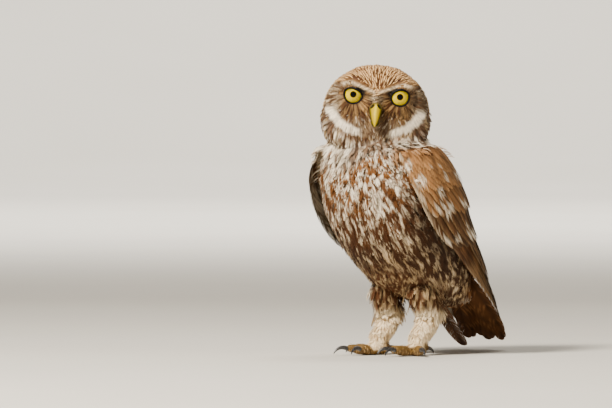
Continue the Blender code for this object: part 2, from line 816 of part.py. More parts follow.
def tier(cloak, count, root, tip, half_width, lift, rows, draw):
    """A row of overlapping feathers. root and tip are functions of the rank, from 0 at the
    wing's lower edge to 1 at its upper one, and give (section, share up the wing). lift is
    how far the row stands off the cloak at the roots and from midway on."""
    vanes = []
    for i in range(count):
        rank = i / (count - 1)
        (s0, share0), (s1, share1) = root(rank), tip(rank)
        s0, s1 = s0 + draw.uniform(-0.05, 0.05), s1 + draw.uniform(-0.08, 0.08)
        start = Vector((s0, wing_angle(s0, share0)))
        end = Vector((s1, wing_angle(s1, share1)))
        low, high = (value + draw.uniform(-0.08, 0.08) for value in lift)

        def place(t, across, off, start=start, end=end, low=low, high=high):
            s, angle = start.lerp(end, t)
            per_s, per_degree = cloak.scale(s, angle)
            run = Vector(((end.x - start.x) * per_s, (end.y - start.y) * per_degree))
            run.normalize()
            s_off, angle_off = -run.y * across / per_s, run.x * across / per_degree
            height = low + (high - low) * t - SHINGLE * across / half_width + off
            return cloak.lifted(s + s_off, angle + angle_off, height)

        vanes.append(vane(place, rows, half_width))
    return vanes


def wing_arm(cloak):
    """The muscle and bone of the folded wing, a shallow pad on the trunk's side."""
    down, across = 8, 7
    points = []
    for top in (1, 0):
        for k in range(down + 1):
            s = PAD_START + PAD_LENGTH * k / down
            for j in range(across + 1):
                share = 0.01 + 0.95 * j / across
                inside = 0 < j < across and 0 < k < down
                lift = PAD_LIFT + top * PAD_THICK * (1.0 if inside else 0.5)
                points.append(cloak.lifted(s, wing_angle(s, share), lift))
    wide, under = across + 1, (down + 1) * (across + 1)
    faces = []
    for k in range(down):
        for j in range(across):
            a = k * wide + j
            faces.append((a, a + 1, a + wide + 1, a + wide))
            faces.append((under + a, under + a + wide, under + a + wide + 1, under + a + 1))
    rim = [j for j in range(wide)]
    rim += [k * wide + across for k in range(1, down + 1)]
    rim += [down * wide + j for j in range(across - 1, -1, -1)]
    rim += [k * wide for k in range(down - 1, 0, -1)]
    for a, b in zip(rim, rim[1:] + rim[:1]):
        faces.append((a, b, under + b, under + a))
    return made("wing_arm", points, faces)


def wing(name, cloak, seed):
    """A folded wing on the bird's left, its feathers in tiers."""
    draw = random.Random(seed)
    pieces = [wing_arm(cloak)]
    pieces += tier(  # primaries, longest along the lower edge
        cloak, 6,
        lambda r: (4.75 + 0.1 * r, 0.08 + 0.36 * r),
        lambda r: (12.5 - 2.3 * r**1.3, 0.10 + 0.46 * r),
        4.3, (1.5, 1.4), PRIMARY_ROWS, draw,
    )
    pieces += tier(  # secondaries
        cloak, 7,
        lambda r: (4.5 + 0.1 * r, 0.34 + 0.56 * r),
        lambda r: (8.9 - 0.7 * r, 0.24 + 0.70 * r),
        5.0, (2.0, 3.1), LONG_ROWS, draw,
    )
    pieces += tier(  # greater coverts
        cloak, 7,
        lambda r: (2.9, 0.05 + 0.86 * r),
        lambda r: (5.8 + 0.4 * r, 0.07 + 0.85 * r),
        5.5, (2.2, 4.4), SHORT_ROWS, draw,
    )
    pieces += tier(  # median coverts
        cloak, 6,
        lambda r: (2.1, 0.08 + 0.82 * r),
        lambda r: (4.3 + 0.3 * r, 0.09 + 0.81 * r),
        6.0, (2.4, 5.2), SHORT_ROWS, draw,
    )
    pieces += tier(  # shoulder coverts
        cloak, 5,
        lambda r: (1.45, 0.12 + 0.76 * r),
        lambda r: (3.0 + 0.2 * r, 0.13 + 0.74 * r),
        6.2, (2.4, 5.6), SHORT_ROWS, draw,
    )
    return joined(name, pieces)


# Colours, and the whole bird

COLOURS = {
    "feathers_brown": ((0.30, 0.19, 0.11), 0.85),
    "feathers_pale": ((0.62, 0.52, 0.40), 0.9),
    "feathers_dark": ((0.16, 0.10, 0.06), 0.8),
    "eye": ((0.80, 0.70, 0.08), 0.08),
    "lid": ((0.03, 0.025, 0.02), 0.6),
    "bill": ((0.66, 0.60, 0.16), 0.35),
    "toe": ((0.42, 0.34, 0.16), 0.7),
    "claw": ((0.06, 0.06, 0.065), 0.35),
}
COLOUR_OF = (
    ("eyelids", "lid"),
    ("eye", "eye"),
    ("bill", "bill"),
    ("claw", "claw"),
    ("foot", "toe"),
    ("shank", "feathers_pale"),
    ("thigh", "feathers_pale"),
    ("tail", "feathers_dark"),
    ("wing", "feathers_brown"),
    ("head", "feathers_brown"),
    ("neck", "feathers_pale"),
    ("torso", "feathers_pale"),
)


def materials():
    """One Principled material for each colour."""
    found = {}
    for name, (colour, roughness) in COLOURS.items():
        material = bpy.data.materials.new(name)
        material.use_nodes = True
        shader = material.node_tree.nodes["Principled BSDF"]
        shader.inputs["Base Color"].default_value = (*colour, 1.0)
        shader.inputs["Roughness"].default_value = roughness
        shader.inputs["Metallic"].default_value = 0.0
        material.diffuse_color = (*colour, 1.0)
        found[name] = material
    return found


def main():
    """Builds the bird and sets its origin on the floor under its middle."""
    for obj in list(bpy.data.objects):
        bpy.data.objects.remove(obj)
    trunk = Sections(TRUNK_SECTIONS, TRUNK_SQUARENESS)
    cloak = wing_cloak()
    body = torso(trunk)
    body_room = torso(trunk, "torso_room", GAP * 1.5)
    turn, head_nodes = build_head(trunk)
    nodes = [body, *head_nodes]
    for side in (1, -1):
        nodes += leg(side, body_room)
    nodes.append(tail(body_room))
    left = wing("wing_left", cloak, SEED + 1)
    right = mirrored("wing_right", wing("wing_right_source", cloak, SEED + 2))
    removed(bpy.data.objects["wing_right_source"], body_room)
    nodes += [left, right]
    owl = bpy.data.objects.new("owl", None)
    bpy.context.scene.collection.objects.link(owl)
    owl.location = -Vector(ORIGIN) * MM
    finish = materials()
    for obj in [turn, *nodes]:
        if obj.parent is None:
            obj.parent = owl
        if obj.type != "MESH":
            continue
        slot = next(colour for start, colour in COLOUR_OF if obj.name.startswith(start))
        obj.data.materials.clear()
        obj.data.materials.append(finish[slot])
        obj.data.shade_smooth()
        obj.data.set_sharp_from_angle(angle=math.radians(40))


main()
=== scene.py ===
"""The looks of a life-size little owl: one skin under a coat of feathers, folded wings and tail
of overlapping vanes, eyes with their lids, bill, claws, and a plain studio round them.

Places are worked out in millimetres in the bird's own frame: zero on the floor between the feet,
the breast towards -Y, the bird's left +X. They are moved to the model's frame, in metres, when a
mesh is made.
"""

import logging
import math
from collections.abc import Callable, Sequence
from dataclasses import dataclass, field
from enum import Enum

import bpy
import numpy as np
from mathutils import Matrix, Vector
from mathutils.bvhtree import BVHTree


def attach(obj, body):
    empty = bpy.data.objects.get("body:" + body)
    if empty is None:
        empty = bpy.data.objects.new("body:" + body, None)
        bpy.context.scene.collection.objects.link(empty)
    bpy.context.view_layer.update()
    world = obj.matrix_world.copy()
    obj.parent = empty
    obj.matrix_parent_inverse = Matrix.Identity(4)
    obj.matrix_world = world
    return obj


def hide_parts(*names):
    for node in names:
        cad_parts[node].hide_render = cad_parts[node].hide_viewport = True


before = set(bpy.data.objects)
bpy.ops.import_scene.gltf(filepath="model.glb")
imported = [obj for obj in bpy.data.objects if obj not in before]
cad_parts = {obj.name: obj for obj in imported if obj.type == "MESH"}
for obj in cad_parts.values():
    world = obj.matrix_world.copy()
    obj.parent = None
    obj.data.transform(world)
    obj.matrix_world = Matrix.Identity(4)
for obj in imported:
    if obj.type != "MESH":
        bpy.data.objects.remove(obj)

log = logging.getLogger("little_owl")

MM = 0.001
ORIGIN = np.array((0.0, 19.77, 0.0))  # the point of the bird's frame at the model's origin
BODY = "root"
MARKING = "Marking"  # the colour that a mesh's points carry
BAKE_MAP = "OFBake"
TUFT_PATCH = 0.003
SEED = 41

Array = np.ndarray


# Small mathematics on whole arrays


def step(low: float | Array, high: float | Array, x: Array) -> Array:
    """0 below low and 1 above high, smooth between them. Low may be the larger."""
    t = np.clip((x - low) / (high - low), 0.0, 1.0)
    return t * t * (3 - 2 * t)


def bump(distance: Array, width: float | Array) -> Array:
    """A soft hill of height 1 at distance 0."""
    return np.exp(-((distance / width) ** 2))


def unit(v: Array) -> Array:
    """Vectors scaled to length 1."""
    return v / np.maximum(np.linalg.norm(v, axis=-1, keepdims=True), 1e-9)


def dot(a: Array, b: Array) -> Array:
    """Dot products along the last axis."""
    return np.sum(a * b, axis=-1)


def blend(a: Array, b: Array, share: Array) -> Array:
    """Colours or vectors between a and b."""
    share = np.asarray(share)[..., None]
    return a * (1 - share) + b * share


def srgb(red: int, green: int, blue: int) -> Array:
    """A screen colour as linear light."""
    c = np.array((red, green, blue)) / 255.0
    return np.where(c <= 0.04045, c / 12.92, ((c + 0.055) / 1.055) ** 2.4)


def hermite(start: Array, end: Array, leave: Array, arrive: Array, t: Array) -> Array:
    """Points at shares t on the smooth curve from start to end with the slopes given there.

    Args:
        start: Where each curve starts.
        end: Where it ends.
        leave: Its slope at the start.
        arrive: Its slope at the end.
        t: Shares from 0 to 1.

    Returns:
        A point for each share.
    """
    return (
        (2 * t**3 - 3 * t**2 + 1) * start
        + (t**3 - 2 * t**2 + t) * leave
        + (3 * t**2 - 2 * t**3) * end
        + (t**3 - t**2) * arrive
    )


def through(values: Array, at: Array) -> Array:
    """The smooth curve through evenly spaced values, at places counted in values.

    Args:
        values: Numbers or points.
        at: Where, 0 at the first value and 1 at the second.

    Returns:
        A number or a point for each place.
    """
    values = np.asarray(values, float)
    at = np.asarray(at, float)
    last = len(values) - 1
    i = np.clip(np.floor(at).astype(int), 0, last - 1)
    t, first, final = at - i, i == 0, i == last - 1
    if values.ndim > 1:
        t, first, final = t[..., None], first[..., None], final[..., None]
    start, end = values[i], values[i + 1]
    before, after = values[np.maximum(i - 1, 0)], values[np.minimum(i + 2, last)]
    leave = np.where(first, end - start, (end - before) / 2)
    arrive = np.where(final, end - start, (after - start) / 2)
    return hermite(start, end, leave, arrive, t)


def value_noise(points: Array, seed: int = 0) -> Array:
    """Smooth noise between -1 and 1 at points, one unit from lump to lump.

    Args:
        points: Places, the last axis being x, y, z.
        seed: Which noise.

    Returns:
        One value for each point.
    """
    cell = np.floor(points).astype(np.int64)
    t = points - cell
    t = t * t * (3 - 2 * t)
    total = np.zeros(points.shape[:-1])
    for corner in range(8):
        pick = np.array([corner & 1, corner >> 1 & 1, corner >> 2 & 1])
        c = cell + pick
        mixed = (c[..., 0] * 73856093) ^ (c[..., 1] * 19349663) ^ (c[..., 2] * 83492791)
        mixed = (mixed + seed * 2654435761) & 0xFFFFFFFF
        mixed = ((mixed >> 15) ^ mixed) * 2246822519 & 0xFFFFFFFF
        mixed = ((mixed >> 13) ^ mixed) * 3266489917 & 0xFFFFFFFF
        mixed = (mixed >> 16) ^ mixed
        share = np.prod(np.where(pick, t, 1 - t), axis=-1)
        total += share * ((mixed & 0xFFFF) / 32767.5 - 1.0)
    return total


# Meshes


@dataclass
class MeshData:
    """Points, faces of equal size, a colour for each point and, if any, a map for each point."""

    points: Array
    faces: Array
    colours: Array | None = None
    uv: Array | None = None

    @staticmethod
    def joined(parts: Sequence["MeshData"]) -> "MeshData":
        """Several meshes as one."""
        first, total = [], 0
        for part in parts:
            first.append(part.faces + total)
            total += len(part.points)
        return MeshData(
            np.concatenate([p.points for p in parts]),
            np.concatenate(first),
            np.concatenate([p.colours for p in parts]) if parts[0].colours is not None else None,
            np.concatenate([p.uv for p in parts]) if parts[0].uv is not None else None,
        )

    def make(self, name: str, material: bpy.types.Material) -> bpy.types.Object:
        """Makes the object, in the model's frame.

        Args:
            name: The object's name.
            material: Its finish.

        Returns:
            The new object, smooth shaded.
        """
        mesh = bpy.data.meshes.new(name)
        corners = self.faces.shape[1]
        mesh.vertices.add(len(self.points))
        mesh.vertices.foreach_set("co", ((self.points - ORIGIN) * MM).astype(np.float32).ravel())
        mesh.loops.add(self.faces.size)
        mesh.loops.foreach_set("vertex_index", self.faces.astype(np.int32).ravel())
        mesh.polygons.add(len(self.faces))
        starts = np.arange(0, self.faces.size, corners, dtype=np.int32)
        mesh.polygons.foreach_set("loop_start", starts)
        mesh.polygons.foreach_set("use_smooth", np.ones(len(self.faces), bool))
        mesh.update(calc_edges=True)
        if self.colours is not None:
            layer = mesh.color_attributes.new(MARKING, "FLOAT_COLOR", "POINT")
            rgba = np.ones((len(self.points), 4), np.float32)
            rgba[:, : self.colours.shape[1]] = self.colours
            layer.data.foreach_set("color", rgba.ravel())
        if self.uv is not None:
            layer = mesh.uv_layers.new(name=BAKE_MAP)
            layer.data.foreach_set("uv", self.uv[self.faces.ravel()].astype(np.float32).ravel())
        mesh.materials.append(material)
        obj = bpy.data.objects.new(name, mesh)
        bpy.context.scene.collection.objects.link(obj)
        return obj


def grid_faces(rows: int, columns: int, closed: bool = False) -> Array:
    """Quads of a grid of points, row by row. A closed one joins its last column to its first.

    Args:
        rows: How many rows.
        columns: How many points are in a row.
        closed: Whether each row is a ring.

    Returns:
        Four point numbers for each quad.
    """
    wide = columns if closed else columns - 1
    k, j = np.meshgrid(np.arange(rows - 1), np.arange(wide), indexing="ij")
    a, b = k * columns + j, k * columns + (j + 1) % columns
    return np.stack((a, b, b + columns, a + columns), -1).reshape(-1, 4)


def solids(names: Sequence[str]) -> tuple[list, list]:
    """The points, in metres, and the faces of some of the frame's nodes, as one mesh."""
    points, faces = [], []
    for name in names:
        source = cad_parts[name].data
        faces += [[v + len(points) for v in p.vertices] for p in source.polygons]
        points += [tuple(v.co) for v in source.vertices]
    return points, faces


def side_word(side: int) -> str:
    """A side in words: 1 is the bird's left, -1 its right."""
    return "left" if side > 0 else "right"


def shown(obj: bpy.types.Object, nodes: Sequence[str] = ()) -> bpy.types.Object:
    """Lets a piece ride on the bird and hides the nodes that it stands for.

    Args:
        obj: The piece.
        nodes: The nodes that it stands for.

    Returns:
        The piece.
    """
    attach(obj, BODY)
    if nodes:
        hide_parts(*nodes)
    log.info("%s: %d faces", obj.name, len(obj.data.polygons))
    return obj


# Shaders


class Paint:
    """A material under construction."""

    def __init__(self, name: str) -> None:
        """Starts a material with one Principled shader."""
        self.material = bpy.data.materials.new(name)
        self.material.use_nodes = True
        self.nodes = self.material.node_tree.nodes
        self.links = self.material.node_tree.links
        self.shader = self.nodes["Principled BSDF"]

    def node(
        self, kind: str, settings: dict | None = None, output: int | str = 0, **inputs
    ) -> "Value":
        """Adds any node.

        Args:
            kind: The node's type.
            settings: Its own settings, set first.
            output: The socket that is wanted from it.
            inputs: Values or links for its sockets; _ stands for a space and iN for number N.

        Returns:
            The wanted output.
        """
        made = self.nodes.new(kind)
        for key, value in (settings or {}).items():
            setattr(made, key, value)
        for key, value in inputs.items():
            number = key[1:].isdigit() and key[0] == "i"
            self.feed(made.inputs[int(key[1:]) if number else key.replace("_", " ")], value)
        return Value(self, made.outputs[output])

    def feed(self, socket: bpy.types.NodeSocket, value: "Value | float | Sequence[float]") -> None:
        """Links a value to a socket, or sets the socket."""
        if isinstance(value, Value):
            self.links.new(value.socket, socket)
        elif hasattr(socket.default_value, "__len__") and not hasattr(value, "__len__"):
            socket.default_value = [value] * len(socket.default_value)
        elif hasattr(value, "__len__") and len(value) < len(socket.default_value):
            socket.default_value = (*value, 1.0)
        else:
            socket.default_value = value

    def place(self) -> "Value":
        """Where the surface is, in the object's own metres."""
        return self.node("ShaderNodeTexCoord", output="Object")

    def marking(self, output: str = "Color") -> "Value":
        """The colour, or with Alpha the mask, that the mesh's points carry."""
        return self.node("ShaderNodeAttribute", {"attribute_name": MARKING}, output)

    def noise(
        self, scale: float, detail: float = 2.0, stretch: Sequence[float] = (1, 1, 1)
    ) -> "Value":
        """Noise from 0 to 1 with so many lumps to a metre."""
        place = self.node(
            "ShaderNodeVectorMath", {"operation": "MULTIPLY"}, i0=self.place(), i1=tuple(stretch)
        )
        return self.node("ShaderNodeTexNoise", Vector=place, Scale=scale, Detail=detail)

    def cells(self, scale: float, distance: str = "DISTANCE_TO_EDGE") -> "Value":
        """How far the surface is from the edges of cells, so many to a metre."""
        return self.node(
            "ShaderNodeTexVoronoi", {"feature": distance}, "Distance",
            Vector=self.place(), Scale=scale,
        )

    def dimmed(self, dim: "Value") -> "Value":
        """The marking's colour times a brightness."""
        grey = self.node("ShaderNodeCombineXYZ", i0=dim, i1=dim, i2=dim)
        return self.mix(1.0, self.marking(), grey, "MULTIPLY")

    def mix(
        self, share: "Value | float", a: "Value | Sequence[float]",
        b: "Value | Sequence[float]", how: str = "MIX",
    ) -> "Value":
        """Mixes two colours.

        Args:
            share: How much of b.
            a: The first colour.
            b: The second.
            how: The way of mixing.

        Returns:
            The mixed colour.
        """
        made = self.nodes.new("ShaderNodeMix")
        made.data_type = "RGBA"
        made.blend_type = how
        for index, value in ((0, share), (6, a), (7, b)):
            self.feed(made.inputs[index], value)
        return Value(self, made.outputs[2])

    def between(self, value: "Value", low: float, high: float) -> "Value":
        """0 where value is below low, 1 above high, smooth between.

        Args:
            value: What is measured.
            low: Where 0 ends.
            high: Where 1 starts.

        Returns:
            The share.
        """
        return self.node(
            "ShaderNodeMapRange", {"interpolation_type": "SMOOTHSTEP"},
            i0=value, i1=low, i2=high, i3=0.0, i4=1.0,
        )

    def relief(self, height: "Value", strength: float, distance: float) -> "Value":
        """Bump from a height."""
        return self.node("ShaderNodeBump", Height=height, Strength=strength, Distance=distance)

    def finish(self, **sockets) -> bpy.types.Material:
        """Feeds the shader's sockets and gives the material."""
        for key, value in sockets.items():
            self.feed(self.shader.inputs[key.replace("_", " ")], value)
        return self.material


class Value:
    """A socket in shader maths."""

    def __init__(self, paint: Paint, socket: bpy.types.NodeSocket) -> None:
        """Wraps an output."""
        self.paint = paint
        self.socket = socket

    def maths(self, operation: str, *terms: "Value | float") -> "Value":
        """Adds a Math node on terms."""
        inputs = {f"i{k}": term for k, term in enumerate(terms)}
        return self.paint.node("ShaderNodeMath", {"operation": operation}, **inputs)

    def __add__(self, other: "Value | float") -> "Value":
        """Sum."""
        return self.maths("ADD", self, other)

    def __radd__(self, other: float) -> "Value":
        """Sum."""
        return self.maths("ADD", other, self)

    def __sub__(self, other: "Value | float") -> "Value":
        """Difference."""
        return self.maths("SUBTRACT", self, other)

    def __rsub__(self, other: float) -> "Value":
        """Difference."""
        return self.maths("SUBTRACT", other, self)

    def __mul__(self, other: "Value | float") -> "Value":
        """Product."""
        return self.maths("MULTIPLY", self, other)

    def __rmul__(self, other: float) -> "Value":
        """Product."""
        return self.maths("MULTIPLY", other, self)

    def part(self, axis: int) -> "Value":
        """One of a vector's x, y and z."""
        return self.paint.node("ShaderNodeSeparateXYZ", output=axis, i0=self)


# Finishes


@dataclass(frozen=True)
class Plumage:
    """Feathers or skin in the colours that their points carry."""

    name: str
    roughness: float = 0.72
    depth: float = 0.00012
    shade: float = 0.22

    def material(self) -> bpy.types.Material:
        """Makes the material."""
        paint = Paint(self.name)
        fine = paint.noise(2600, 3.0)
        broad = paint.noise(420, 2.0)
        dim = (fine - 0.5) * self.shade + (broad - 0.5) * (self.shade * 0.8) + 1.0
        return paint.finish(
            Base_Color=paint.dimmed(dim),
            Roughness=fine * 0.16 + (self.roughness - 0.08),
            Normal=paint.relief(fine, 0.5, self.depth),
            Specular_IOR_Level=0.15,
        )


@dataclass(frozen=True)
class BareSkin:
    """Skin that shows its marking, with small plates where the mask says foot."""

    name: str = "skin"
    plates: float = 950.0

    def material(self) -> bpy.types.Material:
        """Makes the material."""
        paint = Paint(self.name)
        foot = paint.marking("Alpha")
        edge = paint.between(paint.cells(self.plates), 0.0, 0.16)
        fine = paint.noise(1800, 3.0)
        dim = (fine - 0.5) * 0.3 + (edge - 1.0) * foot * 0.45 + 1.0
        height = edge * foot * 0.8 + fine * 0.3
        return paint.finish(
            Base_Color=paint.dimmed(dim),
            Roughness=0.78 - foot * 0.22,
            Normal=paint.relief(height, 0.6, 0.0003),
            Specular_IOR_Level=0.35,
        )


@dataclass(frozen=True)
class Horn:
    """Polished horn, for claws."""

    name: str = "claw_horn"
    dark: tuple = (0.010, 0.010, 0.012)
    pale: tuple = (0.075, 0.068, 0.062)

    def material(self) -> bpy.types.Material:
        """Makes the material."""
        paint = Paint(self.name)
        grain = paint.noise(900, 4.0, (1, 1, 0.4))
        low = paint.between(paint.place().part(2), 0.003, 0.008)
        share = paint.between(grain, 0.35, 0.75) * 0.7 + low * 0.25
        return paint.finish(
            Base_Color=paint.mix(share, self.dark, self.pale),
            Roughness=grain * 0.25 + 0.24,
            Normal=paint.relief(grain, 0.35, 0.0002),
            Coat_Weight=0.25,
            Coat_Roughness=0.2,
        )


@dataclass(frozen=True)
class Lid:
    """Grainy skin of the lids, black at the rim."""

    name: str = "lid_skin"

    def material(self) -> bpy.types.Material:
        """Makes the material."""
        paint = Paint(self.name)
        grain = paint.cells(1500, "F1")
        dim = paint.between(grain, 0.2, 0.8) * 0.6 + 0.7
        return paint.finish(
            Base_Color=paint.dimmed(dim),
            Specular_IOR_Level=0.12,
            Roughness=0.58 - grain * 0.2,
            Normal=paint.relief(grain, 0.6, 0.0003),
        )


@dataclass(frozen=True)
class Glossy:
    """A smooth finish in the colours that the points carry, under a clear coat."""

    name: str
    roughness: float
    coat: float
    grain: float = 700.0
    relief: float = 0.00005
    gloss: float = 0.2

    def material(self) -> bpy.types.Material:
        """Makes the material."""
        paint = Paint(self.name)
        grain = paint.noise(self.grain, 4.0)
        dim = (grain - 0.5) * 0.16 + 1.0
        return paint.finish(
            Base_Color=paint.dimmed(dim),
            Roughness=grain * 0.12 + self.roughness,
            Normal=paint.relief(grain, 0.3, self.relief),
            Specular_IOR_Level=self.gloss,
            Coat_Weight=self.coat,
            Coat_Roughness=0.04,
        )


# The bird's form: the same sections and sizes as the solids


class Sections:
    """A body given by sections across a line in the plane x = 0."""

    def __init__(self, table: Sequence, squareness: float = 2.0) -> None:
        """Keeps the breast line, the back line and the half widths."""
        self.front = np.array([row[0] for row in table], float)
        self.back = np.array([row[1] for row in table], float)
        self.half = np.array([row[2] for row in table], float)
        self.power = 2.0 / squareness

    def on(self, s: Array, angle: Array, grow: float = 0.0) -> Array:
        """Points of sections s at angles in degrees: 0 is the front, 90 the bird's left.

        Args:
            s: Sections, 0 being the first.
            angle: Angles in degrees.
            grow: How much larger than the table.

        Returns:
            A point for each place.
        """
        s, angle = np.broadcast_arrays(np.asarray(s, float), np.asarray(angle, float))
        front, back = through(self.front, s), through(self.back, s)
        middle, depth = (front + back) / 2, (back - front) / 2
        reach = np.linalg.norm(depth, axis=-1)
        a = np.radians(angle)
        across = np.copysign(np.abs(np.sin(a)) ** self.power, np.sin(a))
        along = -np.copysign(np.abs(np.cos(a)) ** self.power, np.cos(a))
        yz = middle + depth * (along * (reach + grow) / reach)[..., None]
        x = (through(self.half, s) + grow) * across
        return np.concatenate((x[..., None], yz), -1)

    def normal(self, s: Array, angle: Array) -> Array:
        """Outward directions at places on the surface."""
        along = self.on(s + 0.05, angle) - self.on(s - 0.05, angle)
        around = self.on(s, angle + 1.0) - self.on(s, angle - 1.0)
        return -unit(np.cross(around, along))

    def lifted(self, s: Array, angle: Array, lift: Array) -> Array:
        """Points moved off the surface by lift."""
        return self.on(s, angle) + self.normal(s, angle) * np.asarray(lift)[..., None]


@dataclass(frozen=True)
class Form:
    """Sizes that the solids are built from, in millimetres."""

    trunk_rows: tuple = (
        ((-56, 151), (-10, 155), 34),
        ((-63, 144), (-4, 150), 41),
        ((-65, 134), (9, 142), 43.5),
        ((-66, 117), (21, 128), 45),
        ((-61, 98), (31, 113), 46),
        ((-50, 81), (40, 97), 44),
    )
    cloak_end: tuple = (
        ((-35, 65), (50, 84), 42.5),
        ((-19, 51), (58.5, 74), 40),
        ((-2, 39), (66.5, 65), 36.5),
        ((16, 27), (75, 56), 32.5),
        ((34, 16), (83.5, 47.5), 29),
        ((50, 6), (92, 39), 25.5),
        ((64, -4), (100, 30.5), 22.5),
        ((76, -12), (107.5, 22), 20),
    )
    cloak_room: float = 1.0
    squareness: float = 2.15
    head_place: tuple = (0.0, -34.0, 166.0)
    head_turn: float = 33.8
    head_tilt: float = 3.4
    head_half: tuple = (38.0, 27.0, 32.0, 36.5, 25.0)  # side, front, back, top, bottom
    head_power: float = 2.35  # 2 would be round, more is squarer
    eye_place: tuple = (15.9, -14.6, 15.3)
    eye_radius: float = 8.6
    eye_outward: float = 2.0
    foot: tuple = (16.5, -10.0, 9.0)

    def cloak(self) -> Sections:
        """The surface that the folded wings lie on."""
        room = self.cloak_room
        rows = [
            ((y0 - room, z0), (y1 + room, z1), half + room)
            for (y0, z0), (y1, z1), half in self.trunk_rows
        ]
        return Sections((*rows, *self.cloak_end), self.squareness)

    def head_matrix(self) -> Array:
        """Turns the head's frame to the bird's."""
        turn = Matrix.Rotation(math.radians(self.head_turn), 3, "Z")
        tilt = Matrix.Rotation(math.radians(self.head_tilt), 3, "Y")
        return np.array(turn @ tilt)

    def to_head(self, points: Array) -> Array:
        """Points of the bird's frame in the head's."""
        return (points - np.array(self.head_place)) @ self.head_matrix()

    def from_head(self, points: Array) -> Array:
        """Points of the head's frame in the bird's."""
        return points @ self.head_matrix().T + np.array(self.head_place)

    def in_head(self, h: Array) -> Array:
        """How far out of the head's middle a point is, 1 at its surface."""
        side, front, back, top, bottom = self.head_half
        ahead = np.where(h[..., 1] < 0, front, back)
        upward = np.where(h[..., 2] > 0, top, bottom)
        p = self.head_power
        total = np.abs(h[..., 0] / side) ** p + np.abs(h[..., 1] / ahead) ** p
        return (total + np.abs(h[..., 2] / upward) ** p) ** (1 / p)


FORM = Form()


# Where the bird's parts are and how they are marked


def ink(red: int, green: int, blue: int) -> Array:
    """A dataclass's field that starts as a screen colour."""
    return field(default_factory=lambda: srgb(red, green, blue))


@dataclass(frozen=True)
class Palette:
    """The coat's colours, as linear light."""

    crown: Array = ink(94, 56, 27)
    crown_dark: Array = ink(54, 32, 16)
    crown_pale: Array = ink(250, 204, 142)
    white: Array = ink(252, 239, 215)
    buff: Array = ink(206, 170, 118)
    tan: Array = ink(170, 130, 80)
    grey: Array = ink(172, 152, 122)
    rust: Array = ink(124, 78, 34)
    brown: Array = ink(82, 48, 22)
    dark: Array = ink(42, 26, 13)
    black: Array = ink(17, 13, 10)
    leg: Array = ink(255, 234, 196)
    toe: Array = ink(132, 98, 42)
    wing_warm: Array = ink(196, 140, 88)
    wing_brown: Array = ink(86, 54, 27)
    wing_dark: Array = ink(44, 28, 14)


COLOURS = Palette()


